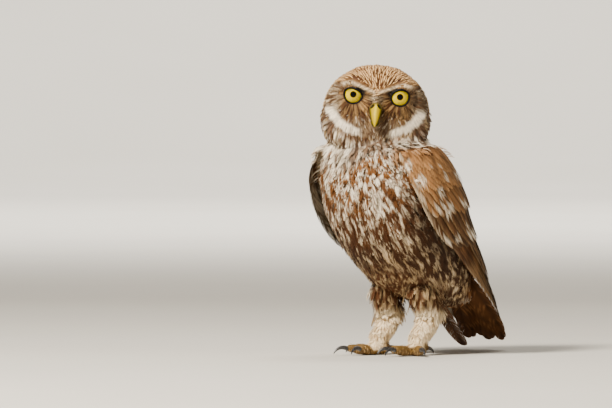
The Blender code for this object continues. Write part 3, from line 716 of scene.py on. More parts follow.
class Markings:
    """The bird's regions, the lie of its coat and its colours, as functions of place.

    Each method takes places, p in the bird's frame or h in the head's, and gives a share from 0 to
    1, a length, a direction or a colour for each place.
    """

    body_axis = np.array((0.0, 0.675, -0.737))
    body_up = np.array((0.0, 0.737, 0.675))

    def head_share(self, p: Array) -> Array:
        """1 on the head and 0 on the rest."""
        return step(1.13, 1.04, FORM.in_head(FORM.to_head(p)))

    def leg_share(self, p: Array) -> Array:
        """1 on the lower legs and feet."""
        under = step(56.0, 46.0, p[..., 2] + 0.35 * p[..., 1])
        return under * step(28.0, 18.0, p[..., 1])

    def foot_share(self, p: Array) -> Array:
        """1 on the toes, where the skin is bare."""
        h = p[..., 2]
        away = np.hypot(np.abs(p[..., 0]) - FORM.foot[0], p[..., 1] - FORM.foot[1] + 1)
        return np.maximum(step(9.0, 7.0, h) * step(6.5, 9.5, away), step(4.5, 2.5, h))

    def brow_line(self, side: Array) -> Array:
        """The height of the brow in the head's frame."""
        top, rise, fall = 18.0, 0.37, 0.12
        return 17.6 + rise * np.minimum(side, top) - fall * np.maximum(side - top, 0.0)

    def depth(self, p: Array) -> Array:
        """How far the skin lies inside the feather tips."""
        head = self.head_share(p)
        h = FORM.to_head(p)
        face = step(2, -8, h[..., 1]) * step(6, -2, h[..., 2] - self.brow_line(np.abs(h[..., 0])))
        on_body, on_head, on_face, on_leg = 3.0, 1.3, 0.7, 2.4
        deep = on_body + (on_head - on_body) * head
        deep = deep + (on_face - deep) * head * face
        low = step(44.0, 26.0, p[..., 2])
        deep = deep + (on_leg - 0.7 * low - deep) * self.leg_share(p)
        return deep * (1 - self.foot_share(p))

    def face_flow(self, h: Array) -> Array:
        """The lie on the front of the head: round each eye, outwards from it."""
        side = np.sign(h[..., 0]) * FORM.eye_place[0]
        ahead, high = np.full_like(side, -30.0), np.full_like(side, FORM.eye_place[2])
        away = unit(h - np.stack((side, ahead, high), -1))
        chin = step(-2, -14, h[..., 2])
        return blend(away, np.array((0.0, 0.1, -1.0)), chin * 0.6)

    def crown_flow(self, h: Array) -> Array:
        """The lie on the crown: up from the bill, then out, back and down round the head."""
        side = np.abs(h[..., 0])
        out = np.stack(
            (h[..., 0], h[..., 1] + 31.0, h[..., 2] - (11.0 + 0.52 * side)), -1
        )
        nape = np.maximum(step(4, 26, h[..., 1]), step(6, -6, h[..., 2]))
        return unit(blend(unit(out), np.array((0.0, 0.25, -1.0)), nape * 0.8))

    def flow(self, p: Array) -> Array:
        """The lie of the coat at places, before it is laid on the surface."""
        h = FORM.to_head(p)
        above = step(-1.5, 1.5, h[..., 2] - self.brow_line(np.abs(h[..., 0])))
        back = step(-9, 1, h[..., 1])
        crown = np.maximum(above, back)
        on_head = blend(self.face_flow(h), self.crown_flow(h), crown) @ FORM.head_matrix().T
        body = np.broadcast_to(self.body_axis, p.shape).copy()
        neck = step(150, 132, p[..., 2])
        body[..., 0] += (1 - neck) * p[..., 0] / 70.0
        body[..., 2] -= (1 - neck) * 0.6
        body = blend(unit(body), np.array((0.0, 0.1, -1.0)), step(66, 48, p[..., 2]) * 0.6)
        leg = np.broadcast_to(np.array((0.0, 0.0, -1.0)), p.shape)
        body = blend(body, leg, self.leg_share(p))
        swirl = value_noise(p / 13.0, 5)[..., None] * 0.22
        lie = blend(unit(body), unit(on_head), self.head_share(p))
        return unit(lie + np.cross(lie, np.array((0.3, -0.8, 0.5))) * swirl)

    def body_streaks(self, p: Array) -> Array:
        """The brown of breast, belly and flanks, from 0 to 1, in long marks."""
        long = dot(p, self.body_axis)
        up = dot(p, self.body_up)
        wander = value_noise(p / 14.0, 9) * 3.0 + value_noise(p / 4.0, 10) * 0.6
        q = np.stack(((p[..., 0] + wander) / 1.8, up / 2.4, long / 10.5), -1)
        fine = np.stack(((p[..., 0] + wander) / 0.8, up / 1.1, long / 6.5), -1)
        mark = 0.8 * value_noise(q, 1) + 0.75 * value_noise(fine, 2)
        mark = mark + 0.12 * value_noise(p / 11.0, 3)
        low = step(-132, -72, long)
        return step(-0.24, 0.02, mark + 0.18 * low)

    def mark_colour(self, p: Array) -> Array:
        """The brown of the streaks, rusty above and dark below."""
        c = COLOURS
        long = dot(p, self.body_axis)
        tone = value_noise(p / 5.0, 15)
        mark = blend(c.rust, c.brown, np.clip(step(-155, -95, long) + 0.5 * tone, 0, 1))
        return blend(mark, c.dark, step(-105, -60, long) * 0.6)

    def body_colour(self, p: Array) -> Array:
        """Breast, belly and back."""
        c = COLOURS
        long = dot(p, self.body_axis)
        low = step(-138, -62, long)
        # the flanks, where the wings' front edges lie over them, drawn dark brown: partly their own
        # brown, partly painted shade under the wings
        flank = step(28, 42, np.abs(p[..., 0])) * step(125, 100, p[..., 2])
        tone = value_noise(p / 5.0, 15)
        ground = blend(c.white, c.buff, np.clip(low * 0.75 + 0.25 * tone, 0, 1))
        ground = blend(ground, c.grey, step(0.1, 0.7, value_noise(p / 7.0, 16)) * 0.6)
        front = blend(ground, self.mark_colour(p), self.body_streaks(p))
        front = blend(front, c.dark, flank * 0.85)
        back = blend(c.brown, c.wing_warm, step(-0.2, 0.6, value_noise(p / 4.0, 12)))
        behind = step(-2.0, 12.0, p[..., 1] - 0.95 * (150 - p[..., 2]) * 0.45)
        spot = step(0.52, 0.75, value_noise(p / np.array((5.0, 5.0, 6.0)), 14))
        back = blend(back, c.white, spot * 0.8)
        return blend(front, back, behind)

    def neck_colour(self, p: Array) -> Array:
        """The collar between face and breast."""
        c = COLOURS
        h = FORM.to_head(p)
        turn = np.arctan2(h[..., 0], -h[..., 1])
        ray = np.stack((turn * 17.0, h[..., 2] / 6.0, np.zeros_like(turn)), -1)
        mark = step(0.0, 0.2, value_noise(ray, 21) + 0.4 * value_noise(p / 1.2, 22)) * 0.9
        pale = blend(c.white, c.grey, step(-0.5, 0.5, value_noise(p / 6.0, 23)) * 0.5)
        middle = bump(turn, 0.75)
        mark = np.clip(mark + middle * step(-0.6, 0.0, value_noise(p / 2.0, 24)), 0, 1)
        rusty = step(-0.3, 0.6, value_noise(p / 5.0, 25)) * (1 - 0.6 * middle)
        dark = blend(blend(c.brown, c.dark, middle * 0.8), c.rust, rusty)
        return blend(pale, dark, mark * 0.9)

    def crescent(self, h: Array) -> Array:
        """How far out a point is on the face's lower edge, 1 on its white rim."""
        return np.hypot(h[..., 0] / 36.0, (h[..., 2] - 10.0) / 24.0)

    def face_colour(self, h: Array) -> Array:
        """The face in the head's frame, apart from the crown."""
        c = COLOURS
        side, up = np.abs(h[..., 0]), h[..., 2]
        dx, dz = side - FORM.eye_place[0], up - FORM.eye_place[2]
        off = np.hypot(dx, dz)
        turn = np.arctan2(dx, dz) * np.sign(h[..., 0])
        ray = np.stack((turn * 11.0, off / 8.0, h[..., 0] * 0.05), -1)
        ring = value_noise(ray, 31) + 0.55 * value_noise(ray * np.array((2.1, 1.7, 1)), 32)
        streak = step(-0.16, 0.18, ring)
        outer = step(22, 28, side)
        ground = blend(c.tan * 0.68, c.grey * 1.1, outer)
        colour = blend(ground, c.brown * 0.85, streak * (0.9 - 0.15 * outer))
        shadow = np.clip(bump(side - 27, 4.5) * bump(up - 14, 8.0), 0, 1)
        shadow = shadow * (0.45 + 0.4 * (h[..., 0] > 0))
        colour = blend(colour, blend(c.brown, c.grey, 0.2), shadow)
        cheek = bump(side - 19, 9.0) * bump(up - 2.2, 4.6)
        cheek = np.clip(cheek * (0.25 + streak), 0, 1)
        colour = blend(colour, blend(c.brown, c.dark, 0.5), cheek * 0.9)
        lore = bump(side - 8.2, 3.4) * bump(up - 8.0, 6.0)
        colour = blend(colour, blend(c.tan, c.brown, streak), np.clip(lore * 1.4, 0, 1))
        smooth = bump(side - 11, 7.0) * bump(up + 5.5, 4.0)
        dull = blend(c.grey, c.brown, 0.5)
        smooth = np.clip(smooth * 1.3, 0, 1)
        colour = blend(colour, blend(dull, c.brown, streak * 0.35), smooth * 0.9)
        # the whole face dimmed a little, and the head's left side, away from the key light, dimmed
        # more as painted shade
        colour = colour * (0.88 - 0.18 * step(-3, 6, h[..., 0]))[..., None]
        rim = self.crescent(h)
        white = step(0.77, 0.86, rim + 0.03 * ring) * step(9, 2, up) * step(6, 13, side)
        colour = blend(colour, c.white, white * (1 - 0.2 * streak))
        chin = bump(side, 8.0) * bump(up + 11, 5.0)
        colour = blend(colour, blend(dull, c.brown, streak * 0.5), np.clip(chin * 1.4, 0, 1))
        tuft = bump(side, 4.2) * bump(up - 13.0, 2.6)
        colour = blend(colour, blend(c.grey, c.dark, streak * 0.5), np.clip(tuft * 1.3, 0, 1))
        reach = 7.4 + 1.3 * step(-3, 4, dz)
        dark = step(reach, reach - 1.1, off + 0.6 * value_noise(h / 1.5, 33))
        dark = dark * (0.6 + 0.4 * step(3, -5, dx))
        corner = bump(dx + 7.4, 1.8) * bump(dz - 2.5, 3.6)
        colour = blend(colour, c.black, np.clip(dark + corner * 0.8, 0, 1))
        return colour

    def crown_colour(self, h: Array) -> Array:
        """Crown, nape and sides of the head, between the pale streaks."""
        c = COLOURS
        patch = value_noise(h / 7.0, 41)
        above = h[..., 2] - self.brow_line(np.abs(h[..., 0]))
        colour = blend(c.crown, c.crown_dark, step(0.0, 0.8, patch) * 0.6)
        return blend(colour, c.tan, step(3.2, 0.6, above) * step(-4, -10, h[..., 1]) * 0.4)

    def brow_white(self, h: Array) -> Array:
        """1 on the pale brows, which meet above the bill."""
        side, up = np.abs(h[..., 0]), h[..., 2]
        line = self.brow_line(side) - 0.7
        ends = step(27, 19, side) * step(0.3, 2.4, side)
        return bump(up - line, 0.95) * ends * step(-3, -8, h[..., 1])

    def head_colour(self, p: Array) -> Array:
        """The whole head and the collar just under it."""
        c = COLOURS
        h = FORM.to_head(p)
        side, up = np.abs(h[..., 0]), h[..., 2]
        front = step(6, -4, h[..., 1])
        above = step(-0.8, 1.2, up - self.brow_line(side))
        rim = self.crescent(h)
        outside = step(0.98, 1.04, rim + 0.05 * value_noise(h / 2.2, 53)) * step(12, 6, up)
        face = blend(self.face_colour(h), self.crown_colour(h), above)
        colour = blend(self.crown_colour(h), face, front)
        turn = np.arctan2(h[..., 0], -h[..., 1])
        ray = np.stack((turn * 15.0, up / 4.5, side * 0.0), -1)
        fleck = value_noise(ray, 51) + 0.5 * value_noise(h / 1.3, 52)
        collar = blend(c.brown, c.dark, step(-0.5, 0.4, fleck))
        collar = blend(collar, c.rust, bump(side - 19, 8) * 0.4)
        collar = blend(collar, c.buff, step(0.12, 0.40, fleck) * (0.5 + 0.4 * step(-11, -19, up)))
        colour = blend(colour, collar, outside * step(14, 2, h[..., 1]) * 0.95)
        return blend(colour, blend(c.buff, c.white, 0.35), np.clip(self.brow_white(h) * 1.2, 0, 1))

    def colour(self, p: Array) -> Array:
        """The coat's colour at places."""
        c = COLOURS
        body = self.body_colour(p)
        across = FORM.to_head(p)[..., 0]
        neck = step(138, 150, p[..., 2] - 0.25 * p[..., 1] - 14 * bump(across - 4, 17))
        neck = np.maximum(neck, step(-4, 6, p[..., 1]) * step(134, 142, p[..., 2]))
        body = blend(body, self.neck_colour(p), neck)
        # a darker warm-brown band on the left shoulder, where the collar meets the wing: partly the
        # wing's own brown, partly painted shadow under the collar's edge
        high = p[..., 2] + 1.5 * value_noise(p / 2.0, 64)
        shoulder = step(27, 31, p[..., 0]) * step(147, 143, high) * step(131, 136, high)
        body = blend(body, c.wing_warm * 0.6, shoulder * 0.9)
        leg = blend(c.leg, c.buff, step(-0.2, 0.8, value_noise(p / 2.5, 61)) * 0.6)
        low = step(33, 27, p[..., 2] + 2.5 * value_noise(p / 3.0, 62))
        pale = step(-0.1, 0.5, value_noise(p / np.array((1.6, 1.6, 6)), 63))
        trouser = blend(c.brown, blend(c.grey, c.buff, 0.5), pale)
        outside = step(-18, -23, p[..., 0]) * step(8, 0, p[..., 1])
        trouser = blend(trouser, c.white, outside * 0.7)
        body = blend(body, blend(trouser, leg, low), self.leg_share(p))
        body = blend(body, c.toe, self.foot_share(p) * self.leg_share(p))
        return blend(body, self.head_colour(p), self.head_share(p))


MARKS = Markings()


# Feathers


@dataclass(frozen=True)
class Vane:
    """How a kind of feather is cut into barbs."""

    barbs: int
    slant: float = 0.30  # how far a barb leans ahead, in feather lengths
    slit: float = 0.8  # 0 keeps the barbs closed, 1 lets them run to points
    start: float = 0.12  # where the lowest barbs end
    blunt: float = 2.4  # how round the tip is

    def width(self, t: Array) -> Array:
        """Half the feather's width along its length, as a share of the widest."""
        low = 0.55 + 0.45 * step(0.0, 0.45, t)
        end = np.clip((t - 0.55) / 0.45, 0, 1) ** self.blunt
        return low * np.sqrt(np.maximum(1 - end, 0.0))

    def template(self) -> tuple[Array, Array, Array, Array]:
        """The places of all points of one feather.

        Returns:
            Share along it, share across it, the barb of each point, and the quads.
        """
        edges = np.linspace(0, 1, self.barbs + 1)
        end = self.start + (1 - self.start) * edges**0.85
        reach = self.width(end)
        base = np.maximum(end - self.slant * reach, 0.0)
        along, across, barb, faces = [], [], [], []
        for side in (-1, 1):
            for k in range(self.barbs):
                pair = slice(k, k + 2)
                rows = (
                    (base[pair], 0.0 * reach[pair], 0.0),
                    (base[pair] + 0.40 * (end - base)[pair], 0.55 * reach[pair], 0.18 * self.slit),
                    (end[pair], reach[pair], 0.94 * self.slit),
                )
                first = len(along)
                for at, out, shrink in rows:
                    centre, middle = at.mean(), out.mean()
                    for a, o in zip(at, out):
                        along.append(a + (centre - a) * shrink)
                        across.append(side * (o + (middle - o) * shrink))
                        barb.append((side > 0) * self.barbs + k)
                faces.append((first, first + 1, first + 3, first + 2))
                faces.append((first + 2, first + 3, first + 5, first + 4))
        return np.array(along), np.array(across), np.array(barb), np.array(faces)


def on_curve(knots: Array, t: Array) -> Array:
    """Points at shares t on the smooth curves through each row's knots.

    Args:
        knots: One row of points for each curve.
        t: One row of shares for each curve.

    Returns:
        A point for each share.
    """
    last = knots.shape[1] - 1
    x = np.clip(t, 0, 1) * last
    i = np.clip(np.floor(x).astype(int), 0, last - 1)
    f = (x - i)[..., None]
    row = np.arange(len(knots))[:, None]
    before, start = knots[row, np.maximum(i - 1, 0)], knots[row, i]
    end, after = knots[row, i + 1], knots[row, np.minimum(i + 2, last)]
    return hermite(start, end, (end - before) / 2, (after - start) / 2, f)


Tint = Callable[[Array, Array, Array, Array], Array]


@dataclass
class Feathers:
    """Many feathers of one kind.

    knots and normals give each feather's shaft and the side it faces. half_width is its widest
    half. patch is each feather's place on the bake map, patch_size its width and height there.
    """

    vane: Vane
    knots: Array
    normals: Array
    half_width: Array
    patch: Array
    patch_size: tuple[float, float] = (TUFT_PATCH, TUFT_PATCH)
    droop: float = 0.12  # how far the edges bend down, in half widths
    ruffle: float = 0.12  # how uneven the barbs lie, in millimetres
    uneven: float = 0.14  # how unevenly the barbs end, in gaps between them
    seed: int = 0
    least_height: float = 0.3  # over the floor
    stride: float = 0.03  # share of the length over which the direction is taken

    def mesh(self, tint: Tint) -> MeshData:
        """Builds the feathers.

        Args:
            tint: Gives colours from places, shares along, shares across and feather numbers.

        Returns:
            One joined mesh.
        """
        draw = np.random.default_rng(SEED + self.seed)
        along, across, barb, faces = self.vane.template()
        count, points = len(self.knots), len(along)
        outer = np.abs(across)
        shake = draw.normal(0, 1, (count, 3, 2 * self.vane.barbs))[:, :, barb]
        t = np.clip(along + shake[:, 0] * self.uneven / self.vane.barbs * outer, 0, 1)
        a = across * (1 + shake[:, 1] * (0.01 + 0.07 * self.vane.slit))
        place = on_curve(self.knots, t)
        stride = self.stride
        ahead = unit(on_curve(self.knots, t + stride) - on_curve(self.knots, t - stride))
        facing = unit(on_curve(self.normals, t))
        side = unit(np.cross(ahead, facing))
        half = self.half_width[:, None]
        lift = -self.droop * half * a**2 + shake[:, 2] * self.ruffle * outer
        place = place + side * (a * half)[..., None] + facing * lift[..., None]
        place[..., 2] = np.maximum(place[..., 2], self.least_height)
        number = np.broadcast_to(np.arange(count)[:, None], t.shape)
        colours = tint(place, t, a, number)
        uv = self.patch[:, None, :] + np.stack(
            (a * self.patch_size[0] * 0.5, (t - 0.5) * self.patch_size[1]), -1
        )
        index = (faces[None] + (np.arange(count) * points)[:, None, None]).reshape(-1, 4)
        return MeshData(place.reshape(-1, 3), index, colours.reshape(-1, 3), uv.reshape(-1, 2))


# Skin


class Skin:
    """One skin over trunk, neck, head and legs, inside the feather tips."""

    nodes = (
        "torso", "neck", "head", "thigh_left", "thigh_right",
        "shank_left", "shank_right", "foot_left", "foot_right",
    )
    voxel = 1.0
    smoothing = 9
    least_height = 0.1  # over the floor
    # painted shade: the skin is drawn darker than the coat by this share, for the shade under and
    # between its feathers; the bare toes are darkened by the same share
    shade = 0.8  # how bright the skin is beside its feathers

    def build(self) -> bpy.types.Object:
        """Wraps the solids of flesh, smooths them and moves them in by the coat's depth."""
        points, faces = self.wrapped()
        normals = self.normals(points, faces)
        points = points - normals * MARKS.depth(points)[:, None]
        points[:, 2] = np.maximum(points[:, 2], self.least_height)
        self.points, self.faces = points, faces
        # painted shade: the skin takes the coat's colours, darkened
        colours = MARKS.colour(points) * self.shade
        foot = MARKS.foot_share(points) * MARKS.leg_share(points)
        colours = np.concatenate((colours, foot[:, None]), -1)
        data = MeshData(points, faces, colours)
        return shown(data.make("skin", BareSkin().material()), self.nodes)

    def wrapped(self) -> tuple[Array, Array]:
        """The solids as one smooth closed surface.

        Returns:
            Its points, in millimetres, and its quads.
        """
        mesh = bpy.data.meshes.new("wrap")
        points, faces = solids(self.nodes)
        mesh.from_pydata(points, [], faces)
        obj = bpy.data.objects.new("wrap", mesh)
        bpy.context.scene.collection.objects.link(obj)
        remesh = obj.modifiers.new("remesh", "REMESH")
        remesh.mode = "VOXEL"
        remesh.voxel_size = self.voxel * MM
        smooth = obj.modifiers.new("smooth", "SMOOTH")
        smooth.factor = 0.5
        smooth.iterations = self.smoothing
        bpy.context.view_layer.update()
        done = bpy.data.meshes.new_from_object(
            obj.evaluated_get(bpy.context.evaluated_depsgraph_get())
        )
        place = np.empty(len(done.vertices) * 3, np.float32)
        done.vertices.foreach_get("co", place)
        corners = np.empty(len(done.loops), np.int32)
        done.loops.foreach_get("vertex_index", corners)
        place = place.reshape(-1, 3).astype(float) / MM + ORIGIN
        bpy.data.objects.remove(obj)
        bpy.data.meshes.remove(mesh)
        bpy.data.meshes.remove(done)
        return place, corners.reshape(-1, 4)

    @staticmethod
    def normals(points: Array, faces: Array) -> Array:
        """Outward directions at the points of a mesh of quads."""
        a, b, c, d = (points[faces[:, k]] for k in range(4))
        across = np.cross(c - a, d - b)
        total = np.zeros_like(points)
        for k in range(4):
            np.add.at(total, faces[:, k], across)
        return unit(total)

    def tree(self) -> BVHTree:
        """For finding the nearest point of the skin."""
        return BVHTree.FromPolygons(self.points.tolist(), self.faces.tolist())


class Region(Enum):
    """Parts of the coat that grow their own kind of feather."""

    CROWN = "crown"
    FACE = "face"
    BROW = "brow"
    LORES = "lores"
    RUFF = "ruff"
    COLLAR = "collar"
    BODY = "body"
    TROUSER = "trouser"
    LEG = "leg"
    TOE = "toe"


@dataclass(frozen=True)
class Tract:
    """One region's feathers: spacing, length and half width in millimetres."""

    region: Region
    spacing: float
    length: float
    half_width: float
    vane: Vane
    lift: float
    slot: str
    ruffle: float = 0.12
    spread: float = 0.12  # how unevenly neighbours point
    bridge: float = 0.0  # how far the tips stand straight on instead of following the skin


TRACTS = (
    Tract(Region.CROWN, 1.3, 6.2, 1.05, Vane(6, slit=0.75), 1.7, "head_feathers", 0.10),
    Tract(Region.RUFF, 1.6, 8.5, 1.2, Vane(6, slit=0.9), 2.4, "head_feathers", 0.18, 0.18, 0.55),
    Tract(Region.FACE, 0.95, 4.6, 0.6, Vane(4, slit=1.0), 0.85, "head_feathers", 0.08, 0.2),
    Tract(Region.BROW, 1.0, 4.6, 0.7, Vane(4, slit=1.0), 1.0, "head_feathers", 0.1, 0.14),
    Tract(Region.LORES, 0.9, 5.4, 0.32, Vane(3, slit=1.0), 1.7, "head_feathers", 0.15, 0.3),
    Tract(Region.COLLAR, 1.9, 10.0, 1.7, Vane(8, slit=0.95), 2.8, "breast_feathers", 0.2, 0.2, 0.25),
    Tract(Region.BODY, 2.1, 13.0, 1.95, Vane(11, slit=0.95), 3.0, "breast_feathers", 0.22, 0.16),
    Tract(Region.TROUSER, 1.8, 10.0, 1.7, Vane(9, slit=0.95), 3.4, "leg_feathers", 0.25, 0.25, 0.45),
    Tract(Region.LEG, 1.15, 4.6, 0.6, Vane(4, slit=1.0), 1.6, "leg_feathers", 0.25, 0.3),
    Tract(Region.TOE, 2.2, 3.2, 0.22, Vane(3, slit=1.0), 0.9, "leg_feathers", 0.1, 0.3),
)


class Coat:
    """The feathers of head, body and legs, rooted in the skin."""

    piece_limit = 180_000  # triangles
    tries = 3.2  # spots drawn for each feather that would fit
    hiding_reach = 9.0  # a wing as near as this over the skin hides a feather
    cover_limit = 7.5  # the collar rises over no higher cover than this

    def __init__(self, skin: Skin) -> None:
        """Keeps the skin and what covers it."""
        self.skin = skin
        self.tree = skin.tree()
        self.covers = self.wing_cover()
        a, b, c, d = (skin.points[skin.faces[:, k]] for k in range(4))
        self.area = np.linalg.norm(np.cross(c - a, d - b), axis=-1) / 2
        self.middle = (a + b + c + d) / 4

    @staticmethod
    def wing_cover() -> BVHTree:
        """The solids of wings and tail, for leaving out feathers that they hide."""
        points, faces = solids(("wing_left", "wing_right", "tail"))
        return BVHTree.FromPolygons((np.array(points) / MM + ORIGIN).tolist(), faces)

    def share(self, region: Region, p: Array) -> Array:
        """How much of a region's feathers grow at places, from 0 to 1.

        Args:
            region: The kind of coat.
            p: Places.

        Returns:
            One share for each place.
        """
        head, leg, foot = MARKS.head_share(p), MARKS.leg_share(p), MARKS.foot_share(p)
        h = FORM.to_head(p)
        side = np.abs(h[..., 0])
        above = h[..., 2] - MARKS.brow_line(side)
        off = np.hypot(side - FORM.eye_place[0], h[..., 2] - FORM.eye_place[2])
        bill = step(5.4, 4.2, side) * step(11.5, 10.0, h[..., 2]) * step(-8, -6, h[..., 2])
        edge = 9.0 if region is Region.BROW else 10.8
        bare = 1 - step(edge + 0.3, edge, off) * step(-8, -10, h[..., 1])
        bare = bare * (1 - bill * step(-8, -12, h[..., 1]))
        crown = np.maximum(step(0.2, 1.2, above), step(-8, -4, h[..., 1]))
        ruff = step(0.97, 1.01, MARKS.crescent(h)) * step(7, 1, h[..., 2])
        if region is Region.CROWN:
            return head * crown * (1 - ruff) * bare
        if region is Region.RUFF:
            return head * ruff
        if region is Region.FACE:
            return head * (1 - crown) * (1 - ruff) * bare
        if region is Region.BROW:
            near = bump(above + 0.4, 2.2) * step(26, 22, side) * step(-4, -9, h[..., 1])
            return (head * near > 0.45) * bare
        if region is Region.LORES:
            beside = bump(side - 7.6, 3.0) * bump(h[..., 2] - 6.0, 6.5) * step(-12, -16, h[..., 1])
            return (beside > 0.4) * bare * head
        rest = (1 - head) * (1 - leg)
        collar = step(133, 143, p[..., 2] - 0.2 * p[..., 1])
        if region is Region.COLLAR:
            return rest * collar
        if region is Region.BODY:
            return rest * (1 - collar)
        if region is Region.TROUSER:
            return leg * step(28, 31, p[..., 2])
        if region is Region.LEG:
            return leg * (1 - foot) * step(34, 30, p[..., 2])
        return leg * foot * step(1.5, 3.0, p[..., 2]) * 0.6

    def roots(self, tract: Tract, seed: int) -> Array:
        """Places of a tract's feathers, none nearer than its spacing to the last.

        Args:
            tract: The kind of feather.
            seed: For the random draw.

        Returns:
            One place for each feather.
        """
        draw = np.random.default_rng(SEED + seed)
        weight = self.area * self.share(tract.region, self.middle)
        wanted = int(weight.sum() / tract.spacing**2 * self.tries)
        if wanted == 0:
            return np.zeros((0, 3))
        pick = draw.choice(len(weight), wanted, p=weight / weight.sum())
        u, v = draw.uniform(0, 1, (2, wanted, 1))
        a, b, c, d = (self.skin.points[self.skin.faces[pick, k]] for k in range(4))
        spots = (a * (1 - u) + b * u) * (1 - v) + (d * (1 - u) + c * u) * v
        kept, cells = [], {}
        size = tract.spacing
        near = [(i, j, k) for i in (-1, 0, 1) for j in (-1, 0, 1) for k in (-1, 0, 1)]
        for spot in spots.tolist():
            cell = tuple(int(x // size) for x in spot)
            crowded = any(
                (spot[0] - q[0]) ** 2 + (spot[1] - q[1]) ** 2 + (spot[2] - q[2]) ** 2 < size**2
                for i, j, k in near
                for q in cells.get((cell[0] + i, cell[1] + j, cell[2] + k), ())
            )
            if not crowded:
                cells.setdefault(cell, []).append(spot)
                kept.append(spot)
        return np.array(kept)

    def nearest(self, places: Array) -> tuple[Array, Array]:
        """The nearest points of the skin and its directions there."""
        found = [self.tree.find_nearest(Vector(p)) for p in places]
        return np.array([f[0] for f in found]), np.array([f[1] for f in found])

    def hidden(self, places: Array, normals: Array) -> Array:
        """Whether a wing or the tail lies close over each place."""
        return np.array(
            [
                self.covers.ray_cast(Vector(p), Vector(n), self.hiding_reach)[0] is not None
                for p, n in zip(places, normals)
            ]
        )

    def cover_height(self, places: Array, normals: Array) -> Array:
        """How high a folded wing stands over each place, 0 where there is none."""
        far = 12.0
        hits = [
            self.covers.ray_cast(Vector(p + n * far), Vector(-n), far)[3]
            for p, n in zip(places, normals)
        ]
        return np.array([0.0 if hit is None else far - hit for hit in hits])

    def lay(self, tract: Tract, seed: int) -> Feathers:
        """Lays a tract's feathers along the skin.

        Args:
            tract: The kind of feather.
            seed: For the random draws.

        Returns:
            The feathers.
        """
        draw = np.random.default_rng(SEED + 100 + seed)
        root = self.roots(tract, seed)
        root, normal = self.nearest(root)
        length = tract.length * draw.uniform(0.85, 1.15, len(root))
        bridge = np.full(len(root), tract.bridge)
        if tract.region is Region.BODY:
            hang = step(74, 52, root[:, 2])
            length = length * (0.8 + 0.35 * step(140, 80, root[:, 2]) + 0.6 * hang)
            bridge = 0.55 * hang
        if tract.region is Region.COLLAR:
            length = length * (1 - 0.45 * step(14, 28, root[:, 0]))
        places, facing = [root], [normal]
        for _ in range(2):
            lie = MARKS.flow(places[-1])
            lie = lie + draw.normal(0, tract.spread, lie.shape) * (len(places) == 1)
            flat = unit(lie - facing[-1] * dot(lie, facing[-1])[:, None])
            at, n = self.nearest(places[-1] + flat * (length / 2)[:, None])
            places.append(at)
            facing.append(n)
        under = self.hidden(root, normal)
        lifts = np.stack([np.full(len(root), k * tract.lift) for k in (0.02, 0.62, 1.0)])
        if tract.region is Region.COLLAR:
            for k in (1, 2):
                cover = np.minimum(self.cover_height(places[k], facing[k]), self.cover_limit)
                lifts[k] = np.maximum(lifts[k], cover + 0.4 * k)
            keep = ~under
        else:
            keep = ~(under & self.hidden(places[-1], facing[-1]))
        knots = np.stack([p + n * lift[:, None] for p, n, lift in zip(places, facing, lifts)], 1)
        rise = draw.normal(0, 0.10 * tract.lift, len(root))
        knots[:, 2] += facing[2] * rise[:, None]
        ahead = root + 2.0 * (knots[:, 1] - root) + normal * (0.2 * tract.lift)
        knots[:, 2] += (ahead - knots[:, 2]) * bridge[:, None]
        turned = np.stack(facing, 1)
        half = tract.half_width * draw.uniform(0.85, 1.15, len(root))
        if tract.region is Region.COLLAR:
            half = half * (1 - 0.4 * step(20, 30, root[:, 0]))
        patch = self.unwrap(tract.region, root)
        return Feathers(
            tract.vane, knots[keep], turned[keep], half[keep], patch[keep],
            ruffle=tract.ruffle, seed=seed,
        )

    @staticmethod
    def unwrap(region: Region, p: Array) -> Array:
        """Places on a map unrolled round the head, the trunk or each leg.

        Args:
            region: The kind of coat.
            p: The feathers' roots.

        Returns:
            Two numbers from 0 to 1 for each root.
        """
        if region in (Region.CROWN, Region.FACE, Region.BROW, Region.LORES, Region.RUFF):
            h = FORM.to_head(p)
            u = np.arctan2(h[:, 0], -h[:, 1]) / (2 * math.pi) + 0.5
            v = (h[:, 2] + 30) / 72
        elif region in (Region.TROUSER, Region.LEG, Region.TOE):
            side = np.sign(p[:, 0])
            u = np.arctan2(p[:, 0] - side * FORM.foot[0], -p[:, 1] + 2) / (2 * math.pi) + 0.5
            u = u * 0.48 + (side > 0) * 0.5
            v = p[:, 2] / 70
        else:
            long = dot(p, Markings.body_axis)
            up = dot(p, Markings.body_up)
            u = np.arctan2(p[:, 0], -(up - 62)) / (2 * math.pi) + 0.5
            v = (long + 150) / 190
        return np.clip(np.stack((u, v), -1), 0.01, 0.99)

    def tint(self, tract: Tract, feathers: Feathers, seed: int) -> Tint:
        """How a tract's feathers are coloured.

        Args:
            tract: The kind of feather.
            feathers: The feathers, laid.
            seed: For the random draws.

        Returns:
            The function that colours them.
        """
        draw = np.random.default_rng(SEED + 200 + seed)
        count = len(feathers.knots)
        shade = draw.uniform(0.82, 1.12, count)
        chance = draw.uniform(0, 1, count)
        c = COLOURS
        head_tips = FORM.to_head(feathers.knots[:, -1]) if count else np.zeros((0, 3))

